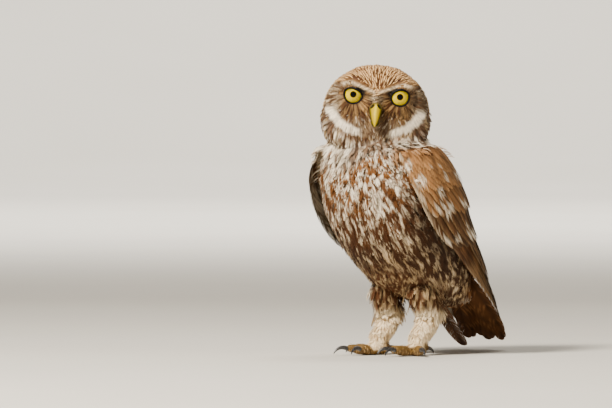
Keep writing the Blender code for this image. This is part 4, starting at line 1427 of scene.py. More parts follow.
        def paint(place: Array, t: Array, a: Array, number: Array) -> Array:
            """Colours the points of the feathers."""
            colour = MARKS.colour(place)
            if tract.region is Region.CROWN:
                tip = head_tips[number]
                near = step(8.0, 3.0, tip[..., 2] - MARKS.brow_line(np.abs(tip[..., 0])))
                start = 0.24 * (1 - near)
                pale = step(0.42, 0.16, np.abs(a + 0.1)) * step(1.0, 0.94, t)
                pale = pale * step(start, start + 0.16, t)
                strong = step(-0.1, 0.2, chance[number]) * (0.65 + 0.35 * shade[number])
                behind = step(6, 20, tip[..., 1])
                colour = blend(colour, c.crown_pale, pale * strong * (1 - 0.3 * behind))
                edge = step(0.6, 1.0, np.abs(a)) * step(0.4, 0.8, t)
                colour = blend(colour, c.crown_dark, edge * 0.8)
            elif tract.region is Region.BROW:
                pale = step(0.5, 0.15, np.abs(a)) * step(0.2, 0.4, t) * (chance[number] < 0.75)
                colour = blend(colour, c.crown_pale, pale * 0.85)
            elif tract.region in (Region.BODY, Region.COLLAR, Region.TROUSER):
                if tract.region is Region.BODY:
                    centre = step(0.55, 0.2, np.abs(a)) * step(0.25, 0.45, t) * step(1.0, 0.86, t)
                    strong = step(0.35, 0.6, chance[number]) * step(10.0, -4.0, place[..., 1])
                    colour = blend(colour, MARKS.mark_colour(place), centre * strong * 0.85)
                shaft = step(0.16, 0.0, np.abs(a)) * step(0.3, 0.6, t)
                colour = blend(colour, colour * 0.6, shaft)
                # painted shade: each feather darker towards its root, where the feathers over it
                # shade it
                colour = blend(colour, colour * 0.4, step(0.55, 0.05, t))
            elif tract.region in (Region.FACE, Region.RUFF):
                light = step(0.5, 0.25, colour.mean(-1))
                dusky = (chance[number] < 0.4) * step(0.1, 0.5, t) * light
                colour = blend(colour, c.brown * 0.7, dusky * 0.75)
                white = (chance[number] > 0.85) * step(0.3, 0.7, t) * light
                colour = blend(colour, c.white, white * 0.25)
            elif tract.region is Region.LORES:
                bristle = (chance[number] > 0.5) * step(0.2, 0.7, t)
                colour = blend(colour, c.dark, bristle * 0.7)
            elif tract.region is Region.LEG:
                # painted shade: the leg feathers darker towards their roots, where the feathers over
                # them shade them
                colour = blend(colour, colour * 0.75, step(0.5, 0.0, t))
            elif tract.region is Region.TOE:
                colour = np.broadcast_to(c.buff, colour.shape)
            return colour * shade[number][..., None]

        return paint

    def build(self) -> list[bpy.types.Object]:
        """Makes all feathers, split into pieces of a workable size."""
        made = []
        finishes = {}
        for seed, tract in enumerate(TRACTS):
            feathers = self.lay(tract, seed)
            if not len(feathers.knots):
                continue
            data = feathers.mesh(self.tint(tract, feathers, seed))
            if tract.slot not in finishes:
                finishes[tract.slot] = Plumage(tract.slot).material()
            along, _, _, quads = tract.vane.template()
            corners, total = len(along), len(feathers.knots)
            parts = math.ceil(total * len(quads) * 2 / self.piece_limit)
            order = np.argsort(feathers.patch[:, 0], kind="stable")
            for part in range(parts):
                chosen = order[total * part // parts : total * (part + 1) // parts]
                points = (chosen[:, None] * corners + np.arange(corners)).ravel()
                faces = quads[None] + (np.arange(len(chosen)) * corners)[:, None, None]
                piece = MeshData(
                    data.points[points], faces.reshape(-1, 4), data.colours[points], data.uv[points]
                )
                name = f"{tract.region.value}_feathers" + (f"_{part + 1}" if parts > 1 else "")
                made.append(shown(piece.make(name, finishes[tract.slot])))
        return made


# Wings and tail


class Row(Enum):
    """Kinds of rows: how warm, how dark towards the tips, the least draw for a white spot."""

    FLIGHT = (0.0, 0.0, 1.0)
    GREATER = (0.2, 2.6, 0.62)
    MEDIAN = (0.6, 1.0, 0.62)
    LESSER = (0.95, 0.0, 0.93)


@dataclass(frozen=True)
class Tier:
    """A row of overlapping feathers on the folded wing.

    root and tip give (section, share up the wing) from the rank, 0 at the wing's lower edge.
    """

    row: Row
    count: int
    root: Callable[[Array], tuple[Array, Array]]
    tip: Callable[[Array], tuple[Array, Array]]
    half_width: float
    lift: tuple[float, float]
    vane: Vane


def lesser_row(k: int) -> Tier:
    """One of the rows of small coverts over the shoulder."""
    s = 1.3 + 0.30 * k
    low, high = -0.01 + 0.01 * k, 0.84
    return Tier(
        Row.LESSER, 13 - k % 2,
        lambda r: (s + 0 * r, low + (high - low) * r),
        lambda r: (s + 1.15 + 0.1 * r, low + (high - low) * r),
        3.5, (0.8 + 0.6 * k, 4.0 + 0.4 * k), Vane(12, slit=0.5, slant=0.24),
    )


TIERS = (
    Tier(Row.FLIGHT, 12, lambda r: (4.75 + 0.1 * r, 0.04 + 0.40 * r),
         lambda r: (12.4 - 2.0 * r**1.3, -0.46 + 1.0 * r), 5.0, (1.5, 1.4),
         Vane(44, slit=0.10, slant=0.07, start=0.03)),
    Tier(Row.FLIGHT, 11, lambda r: (4.5 + 0.1 * r, 0.34 + 0.56 * r),
         lambda r: (8.9 - 0.7 * r, 0.24 + 0.70 * r), 4.9, (2.0, 3.1),
         Vane(36, slit=0.12, slant=0.10, start=0.04)),
    Tier(Row.GREATER, 12, lambda r: (2.9 + 0 * r, -0.01 + 0.92 * r),
         lambda r: (5.8 + 0.4 * r, 0.01 + 0.91 * r), 4.9, (2.2, 4.4),
         Vane(24, slit=0.2, slant=0.14)),
    Tier(Row.MEDIAN, 13, lambda r: (2.1 + 0 * r, 0.0 + 0.90 * r),
         lambda r: (4.3 + 0.3 * r, 0.01 + 0.89 * r), 4.4, (2.4, 5.2),
         Vane(20, slit=0.25, slant=0.16)),
    *(lesser_row(k) for k in (3, 2, 1, 0)),
)

WING_LOW = (50, 51, 54, 62, 71, 77, 83, 90, 98, 107, 117, 128, 139, 147)
WING_HIGH = (96, 106, 120, 135, 148, 157, 163, 167, 169, 170, 169, 168, 167, 166)


@dataclass
class Wing:
    """A folded wing: a pad of muscle under its feathers in tiers."""

    side: int  # 1 on the bird's left, -1 on its right
    seed: int
    shingle: float = 0.7
    knots: int = 8
    tuck: float = 4.5  # how far the pad's edges go into the body
    swell: float = 3.5  # how far the right wing's front edge stands off
    grid: int = 12  # cells along each side of the bake map
    spots: tuple = (  # section, share up the wing and radius of the large white spots
        (2.10, 0.02, 4.2), (2.35, -0.02, 3.6), (2.87, 0.07, 4.4), (3.40, 0.22, 3.4),
        (2.89, 0.43, 2.8), (4.07, 0.22, 2.8), (4.30, 0.14, 3.2), (5.45, 0.10, 3.4),
        (3.0, 0.66, 2.8), (4.2, 0.50, 3.0), (5.1, 0.36, 2.8), (6.76, 0.20, 3.2), (6.1, 0.40, 2.6),
    )
    spot_lift: float = 4.5  # how high the spots' middles stand over the cloak

    @staticmethod
    def angle(s: Array, share: Array) -> Array:
        """The angle on the cloak at a share of the way up the wing."""
        low, high = through(WING_LOW, s), through(WING_HIGH, s)
        return low + (high - low) * share

    def place(self, s: Array, share: Array, lift: Array) -> Array:
        """Points off the cloak on this side."""
        points = FORM.cloak().lifted(s, self.angle(s, share), lift)
        return points * np.array((self.side, 1, 1))

    def tier(self, tier: Tier, cell: int) -> MeshData:
        """Builds one row of feathers.

        Args:
            tier: The row.
            cell: The number of its first cell on the bake map.

        Returns:
            Its mesh.
        """
        draw = np.random.default_rng(self.seed * 31 + cell)
        cloak = FORM.cloak()
        rank = np.linspace(0, 1, tier.count)
        (s0, share0), (s1, share1) = tier.root(rank), tier.tip(rank)
        s0 = s0 + draw.uniform(-0.05, 0.05, tier.count)
        s1 = s1 + draw.uniform(-0.09, 0.09, tier.count)
        a0, a1 = self.angle(s0, share0), self.angle(s1, share1)
        t = np.linspace(0, 1, self.knots)
        s = s0[:, None] + (s1 - s0)[:, None] * t
        angle = a0[:, None] + (a1 - a0)[:, None] * t
        low, high = tier.lift
        lift = low + (high - low) * t + draw.uniform(-0.1, 0.1, (tier.count, 1))
        share = share0[:, None] + (share1 - share0)[:, None] * t
        lift = lift * (0.6 + 0.4 * step(0.0, 0.22, share))
        if self.side < 0:
            front = step(0.45, 0.05, share)
            lift = lift + self.swell * front * step(1.6, 2.8, s) * step(7.5, 5.0, s)
        points = cloak.on(s, angle)
        normals = cloak.normal(s, angle)
        mirror = np.array((self.side, 1, 1))
        knots = (points + normals * lift[..., None]) * mirror
        normals = normals * mirror
        ahead = unit(knots[:, 1:] - knots[:, :-1])
        ahead = np.concatenate((ahead, ahead[:, -1:]), 1)
        lower = unit(np.cross(ahead, normals)) * self.side
        tilt = self.shingle / tier.half_width
        normals = unit(normals - lower * tilt)
        cells = cell + np.arange(tier.count)
        patch = np.stack((cells % self.grid + 0.5, cells // self.grid + 0.5), -1) / self.grid
        feathers = Feathers(
            tier.vane, knots, normals, np.full(tier.count, tier.half_width), patch,
            (0.8 / self.grid, 0.9 / self.grid), droop=0.05, ruffle=0.05, seed=self.seed + cell,
        )
        chance = draw.uniform(0, 1, (tier.count, 3))
        return feathers.mesh(
            lambda p, t, a, n: self.colour(tier.row, p, t, a * self.side, n, rank[n], chance[n])
        )

    @staticmethod
    def flight_colour(t: Array, a: Array, drawn: Array) -> Array:
        """Long feathers: dark, with faint warm bars and a pale edge."""
        c = COLOURS
        base = blend(c.wing_brown, c.wing_dark, step(0.7, -0.6, a))
        bars = step(0.3, 0.9, np.sin(t * 30 + drawn[..., 0] * 5)) * step(0.15, 0.55, np.abs(a))
        base = blend(base, c.wing_warm, bars * 0.30 * step(0.99, 0.9, t))
        return blend(base, c.buff, step(0.80, 0.95, a) * 0.4)

    def covert_colour(
        self, row: Row, p: Array, t: Array, a: Array, upper: Array, drawn: Array
    ) -> Array:
        """Short feathers: warm at the shoulder, mottled, some with a white spot.

        Args:
            row: Its kind.
            p: Places.
            t: Shares along.
            a: Shares across.
            upper: How far up the wing.
            drawn: Three random numbers for each.

        Returns:
            A colour for each place.
        """
        c = COLOURS
        warm, dusk, least = row.value
        base = blend(c.wing_brown, c.wing_warm, np.full(t.shape, warm))
        base = blend(base, c.wing_dark, step(0.3, 1.0, upper) * 0.35)
        shaft = step(0.45, 0.05, np.abs(a)) * step(0.95, 0.7, t)
        base = blend(base, base * 0.55, shaft * (0.35 + 0.65 * drawn[..., 1]))
        edge = step(0.84, 1.0, np.hypot(a, np.clip(t - 0.45, 0, 1) * 1.75))
        base = blend(base, c.buff, edge * 0.35)
        low = step(3.0, 6.0, t * 3.0 + dusk)
        base = blend(base, c.wing_dark, low * step(0.75, 0.2, np.abs(a)) * 0.8)
        mottle = step(-0.1, 0.6, value_noise(p / np.array((3.5, 3.5, 5.5)), 76))
        base = base * (1 - 0.42 * mottle)[..., None]
        outer = 0.40 - 0.2 * drawn[..., 1]
        spot = step(1.1, 0.7, np.hypot((a - outer) / 0.42, (t - 0.84) / 0.085))
        base = blend(base, c.white, spot * (drawn[..., 0] > least))
        return blend(base, c.white, self.spotted(p) * step(1.0, 0.8, np.abs(a)))

    def colour(
        self, row: Row, p: Array, t: Array, a: Array, n: Array, upper: Array, drawn: Array
    ) -> Array:
        """Colours of a row.

        Args:
            row: Its kind.
            p: Places.
            t: Shares along the feathers.
            a: Shares across them, 1 at the lower edge.
            n: Numbers of the feathers.
            upper: How far up the wing the feathers are, from 0 to 1.
            drawn: Three random numbers for each feather.

        Returns:
            A colour for each place.
        """
        c = COLOURS
        if row is Row.FLIGHT:
            base, pale = self.flight_colour(t, a, drawn), 0.2
        else:
            base, pale = self.covert_colour(row, p, t, a, upper, drawn), 0.9
        beads = step(-0.1, 0.3, value_noise(p / 3.2, 75))
        front = step(0.10, 0.0, upper) * step(0.0, 0.6, a) * beads
        base = blend(base, blend(c.buff, c.white, 0.5), front * pale)
        # on the right wing only, the lower edge drawn in pale grey and white mottle: partly the
        # colour of its front edge, partly painted light that brightens it where it lies in shade
        if self.side < 0:
            patchy = step(-0.2, 0.5, value_noise(p / np.array((3.0, 3.0, 5.0)), 73))
            mottle_and_painted_light = blend(c.grey * 0.6, c.white, patchy * 0.8)
            base = blend(base, mottle_and_painted_light, step(0.24, 0.06, upper) * 0.85)
        strand = value_noise(np.stack((a * 3.5 + n * 7.3, t * 5.0, n * 1.7), -1), 72)
        fleck = value_noise(p / np.array((1.3, 1.3, 3.0)), 71)
        base = base * (1 - 0.45 * step(0.0, 0.7, strand))[..., None]
        base = base * (1 + 0.14 * fleck * (0.5 + np.abs(a)))[..., None]
        return base * (0.84 + 0.32 * drawn[..., 2])[..., None]

    def spotted(self, p: Array) -> Array:
        """1 on the large white spots of the coverts."""
        shape = 0.30 * value_noise(p / 1.8, 74)
        total = np.zeros(p.shape[:-1])
        for s, share, radius in self.spots:
            centre = self.place(np.array(s), np.array(share), np.array(self.spot_lift))
            off = np.linalg.norm(p - centre, axis=-1) / radius
            total = np.maximum(total, step(1.05, 0.75, off + shape))
        return total

    def pad(self) -> MeshData:
        """The muscle and bone under the feathers, and the skin that closes the wing below."""
        rows, columns = 26, 18
        s = np.linspace(1.15, 8.2, rows)[:, None] + np.zeros((1, columns))
        share = np.linspace(0.04, 0.93, columns)[None, :] + np.zeros((rows, 1))
        edge = np.sin(np.linspace(0, math.pi, columns))[None, :] ** 0.5
        top = step(1.1, 1.9, s) * step(6.2, 4.6, s)
        lift = 0.4 + 1.9 * top * edge
        lift[:, (0, -1)] = -self.tuck
        upper = self.place(s, share, lift).reshape(-1, 3)
        # painted light: on the right wing only, the pad's lower part is drawn paler grey to brighten
        # it where it lies in shade
        pale = step(0.3, 0.1, share.ravel()) * (self.side < 0)
        colours = blend(COLOURS.wing_brown, COLOURS.grey * 0.8, pale)
        u = np.stack((share.ravel() * 0.08, 0.9 + s.ravel() * 0.01), -1)
        return MeshData(upper, grid_faces(rows, columns), colours, u)

    def build(self) -> bpy.types.Object:
        """Makes the wing."""
        parts, cell = [self.pad()], 0
        for tier in TIERS:
            parts.append(self.tier(tier, cell))
            cell += tier.count
        data = MeshData.joined(parts)
        word = side_word(self.side)
        material = Plumage(f"wing_feathers_{word}", roughness=0.6, shade=0.16).material()
        obj = data.make(f"wing_{word}_feathers", material)
        return shown(obj, (f"wing_{word}",))


@dataclass
class Tail:
    """Twelve tail feathers under their coverts, the outermost on the right hanging loose."""

    root: tuple = (0.0, 59.0, 68.0)
    slope: float = 49.5
    count: int = 12
    length: float = 78.0
    half_width: float = 7.0
    fan: float = 1.75
    root_step: float = 1.15
    layer: float = 0.9
    loose: tuple = ((-23.0, 68.0, 44.0), (-17.5, 104.0, 2.2))  # ends of the loose feather's shaft
    loose_half: float = 6.6
    covert_rows: int = 3
    covert_count: int = 9  # in the last row, one less in each before it
    covert_half: float = 4.2

    def axes(self) -> tuple[Array, Array]:
        """Along the tail and off its upper face."""
        a = math.radians(self.slope)
        return np.array((0, math.cos(a), -math.sin(a))), np.array((0, math.sin(a), math.cos(a)))

    def feathers(self) -> MeshData:
        """The long feathers."""
        along, off = self.axes()
        rank = np.arange(self.count) - (self.count - 1) / 2
        fan = np.radians(rank * self.fan)
        length = self.length - 0.20 * rank**2 + 3.2 * np.cos(rank * 1.55 + 0.4)
        depth = -self.layer * (np.abs(rank) - 0.5) - 0.45 * (rank > 0)
        t = np.linspace(0, 1, 8)
        go = 4.0 + (length[:, None] - 4.0) * t
        x = rank[:, None] * self.root_step + go * np.sin(fan)[:, None]
        y = go * np.cos(fan)[:, None]
        bend = 1.2 * np.sin(math.pi * t) + depth[:, None]
        knots = np.array(self.root) + along * y[..., None] + off * bend[..., None]
        knots[..., 0] += x
        start, end = np.array(self.loose)
        knots[0] = start + (end - start) * t[:, None] - off * (1.5 * np.sin(math.pi * t))[:, None]
        normals = np.broadcast_to(off, knots.shape)
        half = self.half_width - 0.12 * np.abs(rank)
        half[0] = self.loose_half
        across = (np.arange(self.count) + 0.5) / self.count
        patch = np.stack((across, np.full(self.count, 0.3)), -1)
        vane = Vane(52, slit=0.0, slant=0.09, start=0.03, blunt=3.0)
        rows = Feathers(
            vane, knots, normals, half, patch,
            (0.9 / self.count, 0.5), droop=0.06, ruffle=0.03, uneven=0.02, seed=3,
        )
        return rows.mesh(self.colour)

    def coverts(self) -> MeshData:
        """The short feathers over and under the tail's root."""
        draw = np.random.default_rng(8)
        along, off = self.axes()
        knots, normals = [], []
        for face, under in ((1, 0.35), (-1, 3.4)):
            for row in range(self.covert_rows):
                count = self.covert_count - row
                for k in range(count):
                    rank = k - (count - 1) / 2
                    t = np.linspace(0, 1, 3)
                    start = -3.0 - 3.5 * row + draw.uniform(-0.6, 0.6)
                    go = start + (25.0 - 1.1 * abs(rank)) * t
                    fan = math.radians(3.8 * rank)
                    x = rank * 3.0 + go * math.sin(fan)
                    thick = face * (1.4 + 1.3 * t + 0.5 * row + under - 0.12 * abs(rank))
                    line = np.array(self.root) + along * go[:, None] + off * thick[:, None]
                    line[:, 0] += x
                    knots.append(line)
                    normals.append(np.broadcast_to(off * face, line.shape))
        count = len(knots)
        number = np.arange(count)
        wide = 24  # feathers beside one another on the bake map
        patch = np.stack(((number % wide + 0.5) / wide, 0.7 + 0.1 * (number // wide)), -1)
        rows = Feathers(
            Vane(16, slit=0.5, slant=0.18), np.array(knots), np.array(normals),
            np.full(count, self.covert_half), patch, (0.8 / wide, 0.08), seed=4,
        )
        return rows.mesh(self.covert_colour)

    @staticmethod
    def colour(p: Array, t: Array, a: Array, number: Array) -> Array:
        """Dark brown with five pale bars, broken at the shaft.

        Args:
            p: Places.
            t: Shares along.
            a: Shares across.
            number: Which feather.

        Returns:
            A colour for each place.
        """
        c = COLOURS
        cloud = step(-0.4, 1.2, value_noise(p / 5.0, 81))
        base = blend(c.wing_brown * 1.4, c.wing_dark, cloud * 0.8)
        bars = step(0.80, 0.97, np.sin(t * 31 + 0.8 * np.abs(a))) * step(0.2, 0.5, np.abs(a))
        base = blend(base, c.wing_warm, bars * (number > 0) * 0.35)
        return blend(base, base * 0.6, step(0.06, 0.0, np.abs(a)))

    @staticmethod
    def covert_colour(p: Array, t: Array, a: Array, number: Array) -> Array:
        """Brown with pale tips."""
        c = COLOURS
        base = blend(c.wing_brown, c.buff, step(0.82, 0.98, t) * 0.08)
        return base * (0.9 + 0.12 * value_noise(p / 2.0, 82))[..., None]

    def build(self) -> bpy.types.Object:
        """Makes the tail."""
        data = MeshData.joined([self.feathers(), self.coverts()])
        material = Plumage("tail_feathers", roughness=0.6, shade=0.16).material()
        return shown(data.make("tail_fan", material), ("tail",))


# Eyes, lids and bill


def turned(points: Array, side: int) -> Array:
    """Points of an eye's frame, where it looks along -y, in the bird's frame.

    Args:
        points: Points of the eye's frame.
        side: 1 for the bird's left eye, -1 for its right.

    Returns:
        The points in millimetres.
    """
    x, y, z = FORM.eye_place
    turn = np.array(Matrix.Rotation(math.radians(side * FORM.eye_outward), 3, "Z"))
    return FORM.from_head(points @ turn.T + np.array((side * x, y, z)))


def ball_grid(rows: int, columns: int, last: float) -> tuple[Array, Array]:
    """Angles off the gaze and round it, in degrees and turns."""
    polar = last * np.linspace(0, 1, rows) ** 1.1
    return np.meshgrid(polar, np.arange(columns) / columns, indexing="ij")


def ball(polar: Array, turn: Array, reach: float | Array = 1.0) -> Array:
    """Points at angles off the gaze and round it, in radians, in the eye's frame.

    Args:
        polar: Angles off the gaze.
        turn: Angles round it, 0 at the top.
        reach: How far from the middle.

    Returns:
        A point for each pair of angles.
    """
    flat = np.sin(polar)
    return np.stack(
        (flat * np.sin(turn) * reach, -np.cos(polar) * reach, flat * np.cos(turn) * reach), -1
    )


@dataclass
class Eye:
    """An eyeball with pupil and iris under a clear bulge."""

    side: int
    pupil: float = 14.0  # degrees off the gaze
    iris: float = 43.0
    bulge: float = 0.8
    rows: int = 90
    columns: int = 96
    yellow: Array = ink(222, 194, 0)
    olive: Array = ink(100, 88, 0)
    inner: Array = ink(190, 150, 0)  # round the pupil
    outer: Array = ink(34, 26, 12)  # round the iris
    black: Array = ink(5, 5, 6)

    def build(self) -> bpy.types.Object:
        """Makes the eye."""
        word = side_word(self.side)
        polar, turn = ball_grid(self.rows, self.columns, 180.0)
        b = turn * 2 * math.pi
        reach = FORM.eye_radius + self.bulge * step(42.0, 12.0, polar)
        points = turned(ball(np.radians(polar), b, reach).reshape(-1, 3), self.side)
        ray = np.stack((np.cos(b) * 9, np.sin(b) * 9, polar / 16.0), -1)
        fibre = value_noise(ray, 91 + self.side)
        deep = blend(self.yellow, self.inner, bump(polar - self.pupil, 5.0) * 0.6)
        shadow = step(-0.2, 0.9, np.cos(b)) * step(12, 28, polar)
        colour = blend(deep, self.olive, shadow * 0.85)
        colour = colour * (1 + 0.16 * fibre)[..., None]
        colour = blend(colour, self.outer, step(self.iris - 4, self.iris + 1, polar))
        colour = blend(self.black, colour, step(self.pupil - 0.7, self.pupil + 0.9, polar))
        faces = grid_faces(self.rows, self.columns, True)
        data = MeshData(points, faces, colour.reshape(-1, 3))
        material = Glossy(f"eye_{word}", 0.5, 0.05, 900, 0.00001, 0.04).material()
        return shown(data.make(f"eyeball_{word}", material), (f"eye_{word}",))


@dataclass
class Lids:
    """The grainy black ring of lid round an eye."""

    side: int
    droop: float  # how far the upper lid comes down, in degrees
    open: float = 39.5
    end: float = 80.0  # where the ring goes into the face, in degrees
    black: float = 3.4  # least width of the black rim, in degrees
    # The fringe's rows: degrees outside the rim where they start, and how far out they end
    rows: tuple = ((0.0, 11.2), (4.5, 12.4), (9.5, 13.8))
    count: int = 78
    half_width: float = 0.62
    columns: int = 120
    # The ring's rows: degrees outside the rim, and how far they stand off the eyeball
    profile: tuple = (
        (2.0, 0.25), (-0.3, 0.5), (0.4, 0.85), (2.0, 1.1),
        (4.5, 1.25), (8.0, 1.2), (13.0, 1.1), (20.0, 0.95),
    )
    beads: int = 34  # grains round the ring
    bead_height: float = 0.07
    beading: tuple = (0, 0.3, 1, 1, 1, 0.5, 0.2, 0, 0, 0)  # how grainy each row is

    def rim(self, turn: Array) -> tuple[Array, Array]:
        """The open edge and the black rim's width, in degrees, round the eye.

        Args:
            turn: Angles round the gaze, 0 at the top.

        Returns:
            The edge and the width.
        """
        toward_bill = -self.side * np.sin(turn)
        over = np.maximum(0.0, np.cos(turn + self.side * 0.30)) ** 1.4
        corner = bump(np.mod(turn + self.side * 0.9 + math.pi, 2 * math.pi) - math.pi, 0.6)
        edge = self.open - self.droop * over - 1.5 * np.maximum(0.0, toward_bill)
        return edge, self.black + 4.0 * over + 9.0 * corner

    def fringe(self, coat: Coat) -> bpy.types.Object:
        """Makes the short feathers that run from the rim out over the face.

        Args:
            coat: For finding the face's skin.

        Returns:
            The new object.
        """
        word = side_word(self.side)
        draw = np.random.default_rng(SEED + 300 + self.side)
        x, _, z = FORM.eye_place
        knots, normals = [], []
        for row, (away, out) in enumerate(self.rows):
            turn = (np.arange(self.count) + 0.5 * (row % 2)) / self.count * 2 * math.pi
            turn = turn + draw.normal(0, 0.03, self.count)
            edge, black = self.rim(turn)
            ray = ball(np.radians(edge + black + away), turn)
            start = turned(ray * (FORM.eye_radius + 1.35), self.side)
            wide = out * draw.uniform(0.93, 1.07, self.count) + 0.1 * black
            over, high = self.side * x + wide * np.sin(turn), z + wide * np.cos(turn)
            ahead = np.full(self.count, -26.0)
            end, up = coat.nearest(FORM.from_head(np.stack((over, ahead, high), -1)))
            end = end + up * (1.2 - 0.2 * row)
            facing = unit(turned(ray, self.side) - turned(ray * 0, self.side))
            middle = (start + end) / 2 + unit(facing + up) * 0.5
            knots.append(np.stack((start, middle, end), 1))
            normals.append(np.stack((unit(facing + up), unit(facing + 2 * up), up), 1))
        knots, normals = np.concatenate(knots), np.concatenate(normals)
        half = self.half_width * draw.uniform(0.85, 1.15, len(knots))
        feathers = Feathers(
            Vane(4, slit=1.0), knots, normals, half, Coat.unwrap(Region.FACE, knots[:, 0]),
            ruffle=0.08, seed=40 + self.side,
        )
        shade = draw.uniform(0.5, 1.25, len(knots))
        data = feathers.mesh(lambda p, t, a, n: MARKS.colour(p) * shade[n][..., None])
        material = Plumage(f"fringe_{word}").material()
        return shown(data.make(f"fringe_{word}", material))

    def build(self) -> bpy.types.Object:
        """Makes the ring."""
        word = side_word(self.side)
        turn = np.arange(self.columns) / self.columns * 2 * math.pi
        edge, black = self.rim(turn)
        skin = blend(COLOURS.brown, COLOURS.tan, 0.5)
        polar = [edge + away for away, _ in self.profile]
        polar += [np.full(self.columns, self.end - 10.0), np.full(self.columns, self.end)]
        rise = [0.3 + rise for _, rise in self.profile] + [1.8, 2.2]
        tones = [
            blend(COLOURS.black * 0.4, skin, step(black + 1.0, black + 3.0, away))
            for away, _ in self.profile
        ]
        tones += [tones[-1]] * 2
        beads = np.sin(turn * self.beads) * self.bead_height * np.array(self.beading)[:, None]
        reach = FORM.eye_radius + np.array(rise)[:, None] + beads
        points = ball(np.radians(np.array(polar)), turn, reach)
        data = MeshData(
            turned(points.reshape(-1, 3), self.side),
            grid_faces(len(polar), self.columns, True),
            np.array(tones).reshape(-1, 3),
        )
        obj = data.make(f"lids_{word}", Lid(f"lid_skin_{word}").material())
        return shown(obj, (f"eyelids_{word}",))


@dataclass
class Bill:
    """The hooked bill, yellow along its ridge and greener at its sides."""

    upper: tuple = (
        ((-14, 11.0), (-14, 1.0), 4.3),
        ((-26, 10.8), (-22, 0.4), 4.5),
        ((-32, 9.0), (-26.5, -0.2), 4.3),
        ((-36, 5.2), (-30.5, -1.2), 3.7),
        ((-37.9, 0.6), (-33.3, -2.8), 2.8),
        ((-38.0, -3.4), (-35.3, -4.7), 1.6),
        ((-37.2, -5.9), (-36.6, -6.2), 0.5),
    )
    lower: tuple = (
        ((-14, 0.4), (-14, -5.4), 3.6),
        ((-22.4, -0.4), (-22, -5.8), 3.4),
        ((-26.8, -1.2), (-26.5, -6.0), 3.0),
        ((-30.7, -2.6), (-30.4, -6.1), 2.2),
        ((-33.2, -4.3), (-33.0, -5.9), 1.2),
    )
    nostril: tuple = (3.2, -31.2, 8.0)
    rows: int = 60
    columns: int = 64

    def half(self, name: str, table: tuple, node: str) -> bpy.types.Object:
        """One half of the bill, closed at its point.

        Args:
            name: The name of piece and finish.
            table: Its sections.
            node: The node that it stands for.

        Returns:
            The new object.
        """
        along = np.linspace(0, len(table) - 1, self.rows)
        round_it = np.arange(self.columns) * 360 / self.columns
        s, angle = np.meshgrid(along, round_it, indexing="ij")
        points = Sections(table, 2.0).on(s, angle)
        ridge = np.cos(np.radians(angle))
        points[..., 0] *= 1 - 0.12 * step(0.5, 1.0, ridge)
        tip = (points[-1].mean(0) - points[-3].mean(0)) * 0.5 + points[-1].mean(0)
        points[-1] = tip
        pit = 0.0
        if table is self.upper:
            off = points * np.where(points[..., :1] < 0, (-1, 1, 1), 1) - np.array(self.nostril)
            pit = step(2.7, 1.7, np.linalg.norm(off * np.array((1, 1, 1.15)), axis=-1))
            points[..., 0] -= np.sign(points[..., 0]) * pit * 0.9
            points[..., 1] += pit * 0.7
        yellow, green, pale = srgb(178, 150, 0), srgb(62, 58, 2), srgb(236, 214, 40)
        colour = blend(green, yellow, step(0.15, 0.9, ridge))
        # painted highlight: a pale line along the top of the ridge
        colour = blend(colour, pale, step(0.95, 1.0, ridge) * step(1.5, 2.6, s) * 0.5)
        colour = blend(colour, srgb(70, 60, 34), step(2.4, 1.4, s) * 0.85)
        # painted shade: the nostril pits drawn near-black
        colour = blend(colour, srgb(16, 13, 11), np.broadcast_to(pit, s.shape) ** 0.6)
        data = MeshData(
            FORM.from_head(points.reshape(-1, 3)),
            grid_faces(self.rows, self.columns, True),
            colour.reshape(-1, 3),
        )
        material = Glossy(name, 0.36, 0.10, 1400, 0.00006, 0.12).material()
        return shown(data.make(name, material), (node,))

    def build(self) -> None:
        """Makes both halves."""
        self.half("bill_ridge", self.upper, "bill_upper")
        self.half("bill_underside", self.lower, "bill_lower")


class Claws:
    """The horn of the eight claws, whose shapes come with the frame."""

    def build(self) -> None:
        """Gives each claw its finish."""
        horn = Horn().material()
        for name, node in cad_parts.items():
            if name.startswith("claw_"):
                node.data.materials.clear()
                node.data.materials.append(horn)
                node.data.shade_smooth()


# Studio


@dataclass(frozen=True)
class Light:
    """A soft square light, placed by right, up and back like the point that it faces."""

    name: str
    place: tuple
    size: float
    power: float
    tone: tuple
    toward: tuple = (0, 0, 0)


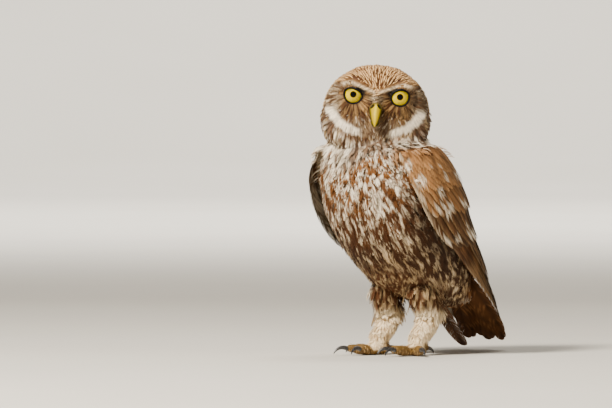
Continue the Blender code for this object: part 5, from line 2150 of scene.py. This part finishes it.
@dataclass
class Studio:
    """Floor, backdrop, lights and the camera."""

    turn: float = 35.0
    elevation: float = 1.2
    distance: float = 5.0
    across: float = 0.4284  # metres seen at the bird
    aim: tuple = (-0.0680, 0.1052)  # the view's middle, right of and above the bird's zero
    sensor: float = 36.0  # millimetres
    lit: tuple = (0, 0, 0.1)  # the point that the lights are placed round
    lights: tuple = (
        Light("key", (-0.9, 1.3, 1.2), 0.36, 98.0, (1.0, 0.93, 0.82)),
        Light("fill", (1.3, 0.5, 1.2), 1.0, 6.0, (1.0, 0.93, 0.84)),
        Light("top", (0.2, 1.7, -0.5), 0.7, 15.0, (1.0, 0.95, 0.88)),
        Light("wall", (0, 3.0, -3.4), 2.5, 420.0, (1.0, 0.97, 0.92), (0, 0.6, -6.6)),
    )
    air: tuple = (0.95, 0.92, 0.87, 1)
    air_strength: float = 0.14
    half_width: float = 8.0
    floor: float = -0.0004
    profile: tuple = (  # depth and height of floor and backdrop
        (8.0, 0.0), (0.4, 0.0), (-5.6, 0.0), (-6.2, 0.05),
        (-6.7, 0.3), (-7.0, 0.8), (-7.2, 1.6), (-7.2, 5.0),
    )

    def axes(self) -> tuple[Vector, Vector, Vector]:
        """The camera's right, up and backward directions."""
        a, e = math.radians(self.turn), math.radians(self.elevation)
        back = Vector((math.sin(a) * math.cos(e), -math.cos(a) * math.cos(e), math.sin(e)))
        right = Vector((math.cos(a), math.sin(a), 0))
        return right, back.cross(right), back

    def camera(self) -> None:
        """Sets the camera where the bird was seen from."""
        right, up, back = self.axes()
        target = Vector(-ORIGIN * MM) + right * self.aim[0] + up * self.aim[1]
        lens = bpy.data.cameras.new("camera")
        lens.sensor_width = self.sensor
        lens.lens = self.sensor * self.distance / self.across
        lens.clip_start, lens.clip_end = 0.1, 50.0
        obj = bpy.data.objects.new("camera", lens)
        obj.matrix_world = Matrix.Translation(target + back * self.distance) @ Matrix(
            (right, up, back)
        ).transposed().to_4x4()
        bpy.context.scene.collection.objects.link(obj)
        bpy.context.scene.camera = obj

    def from_camera(self, place: Sequence[float]) -> Vector:
        """A point given by right, up and back from the lit point."""
        right, up, back = self.axes()
        return Vector(self.lit) + right * place[0] + up * place[1] + back * place[2]

    def light(self, light: Light) -> None:
        """Adds a light."""
        target, at = self.from_camera(light.toward), self.from_camera(light.place)
        lamp = bpy.data.lights.new(light.name, "AREA")
        lamp.size = light.size
        lamp.energy = light.power
        lamp.color = light.tone
        obj = bpy.data.objects.new(light.name, lamp)
        facing = (at - target).to_track_quat("Z", "Y").to_matrix().to_4x4()
        obj.matrix_world = Matrix.Translation(at) @ facing
        bpy.context.scene.collection.objects.link(obj)

    def sweep(self) -> None:
        """A floor that bends up into a backdrop."""
        right, _, back = self.axes()
        back = Vector((back.x, back.y, 0)).normalized()
        points = [
            back * depth + right * x + Vector((0, 0, height + self.floor))
            for depth, height in self.profile
            for x in (-self.half_width, self.half_width)
        ]
        paint = Paint("studio_paper")
        tone = paint.mix(paint.noise(3.0, 2.0), (0.60, 0.57, 0.51), (0.66, 0.63, 0.57))
        material = paint.finish(Base_Color=tone, Roughness=0.9)
        faces = grid_faces(len(self.profile), 2)[:, ::-1]
        data = MeshData(np.array(points) / MM + ORIGIN, faces)
        data.make("studio_sweep", material)

    def build(self) -> None:
        """Makes the studio."""
        self.camera()
        self.sweep()
        for light in self.lights:
            self.light(light)
        world = bpy.data.worlds.new("studio")
        world.use_nodes = True
        around = world.node_tree.nodes["Background"]
        around.inputs[0].default_value = self.air
        around.inputs[1].default_value = self.air_strength
        bpy.context.scene.world = world


def main() -> None:
    """Dresses the bird and sets the studio round it."""
    logging.basicConfig(level=logging.INFO, format="%(message)s")
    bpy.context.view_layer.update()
    Studio().build()
    skin = Skin()
    skin.build()
    coat = Coat(skin)
    coat.build()
    for side in (1, -1):
        Wing(side, 11 + side).build()
        Eye(side).build()
        lids = Lids(side, droop=13.0 if side > 0 else 19.0)
        lids.build()
        lids.fringe(coat)
    Tail().build()
    Bill().build()
    Claws().build()


if __name__ == "__main__":
    main()
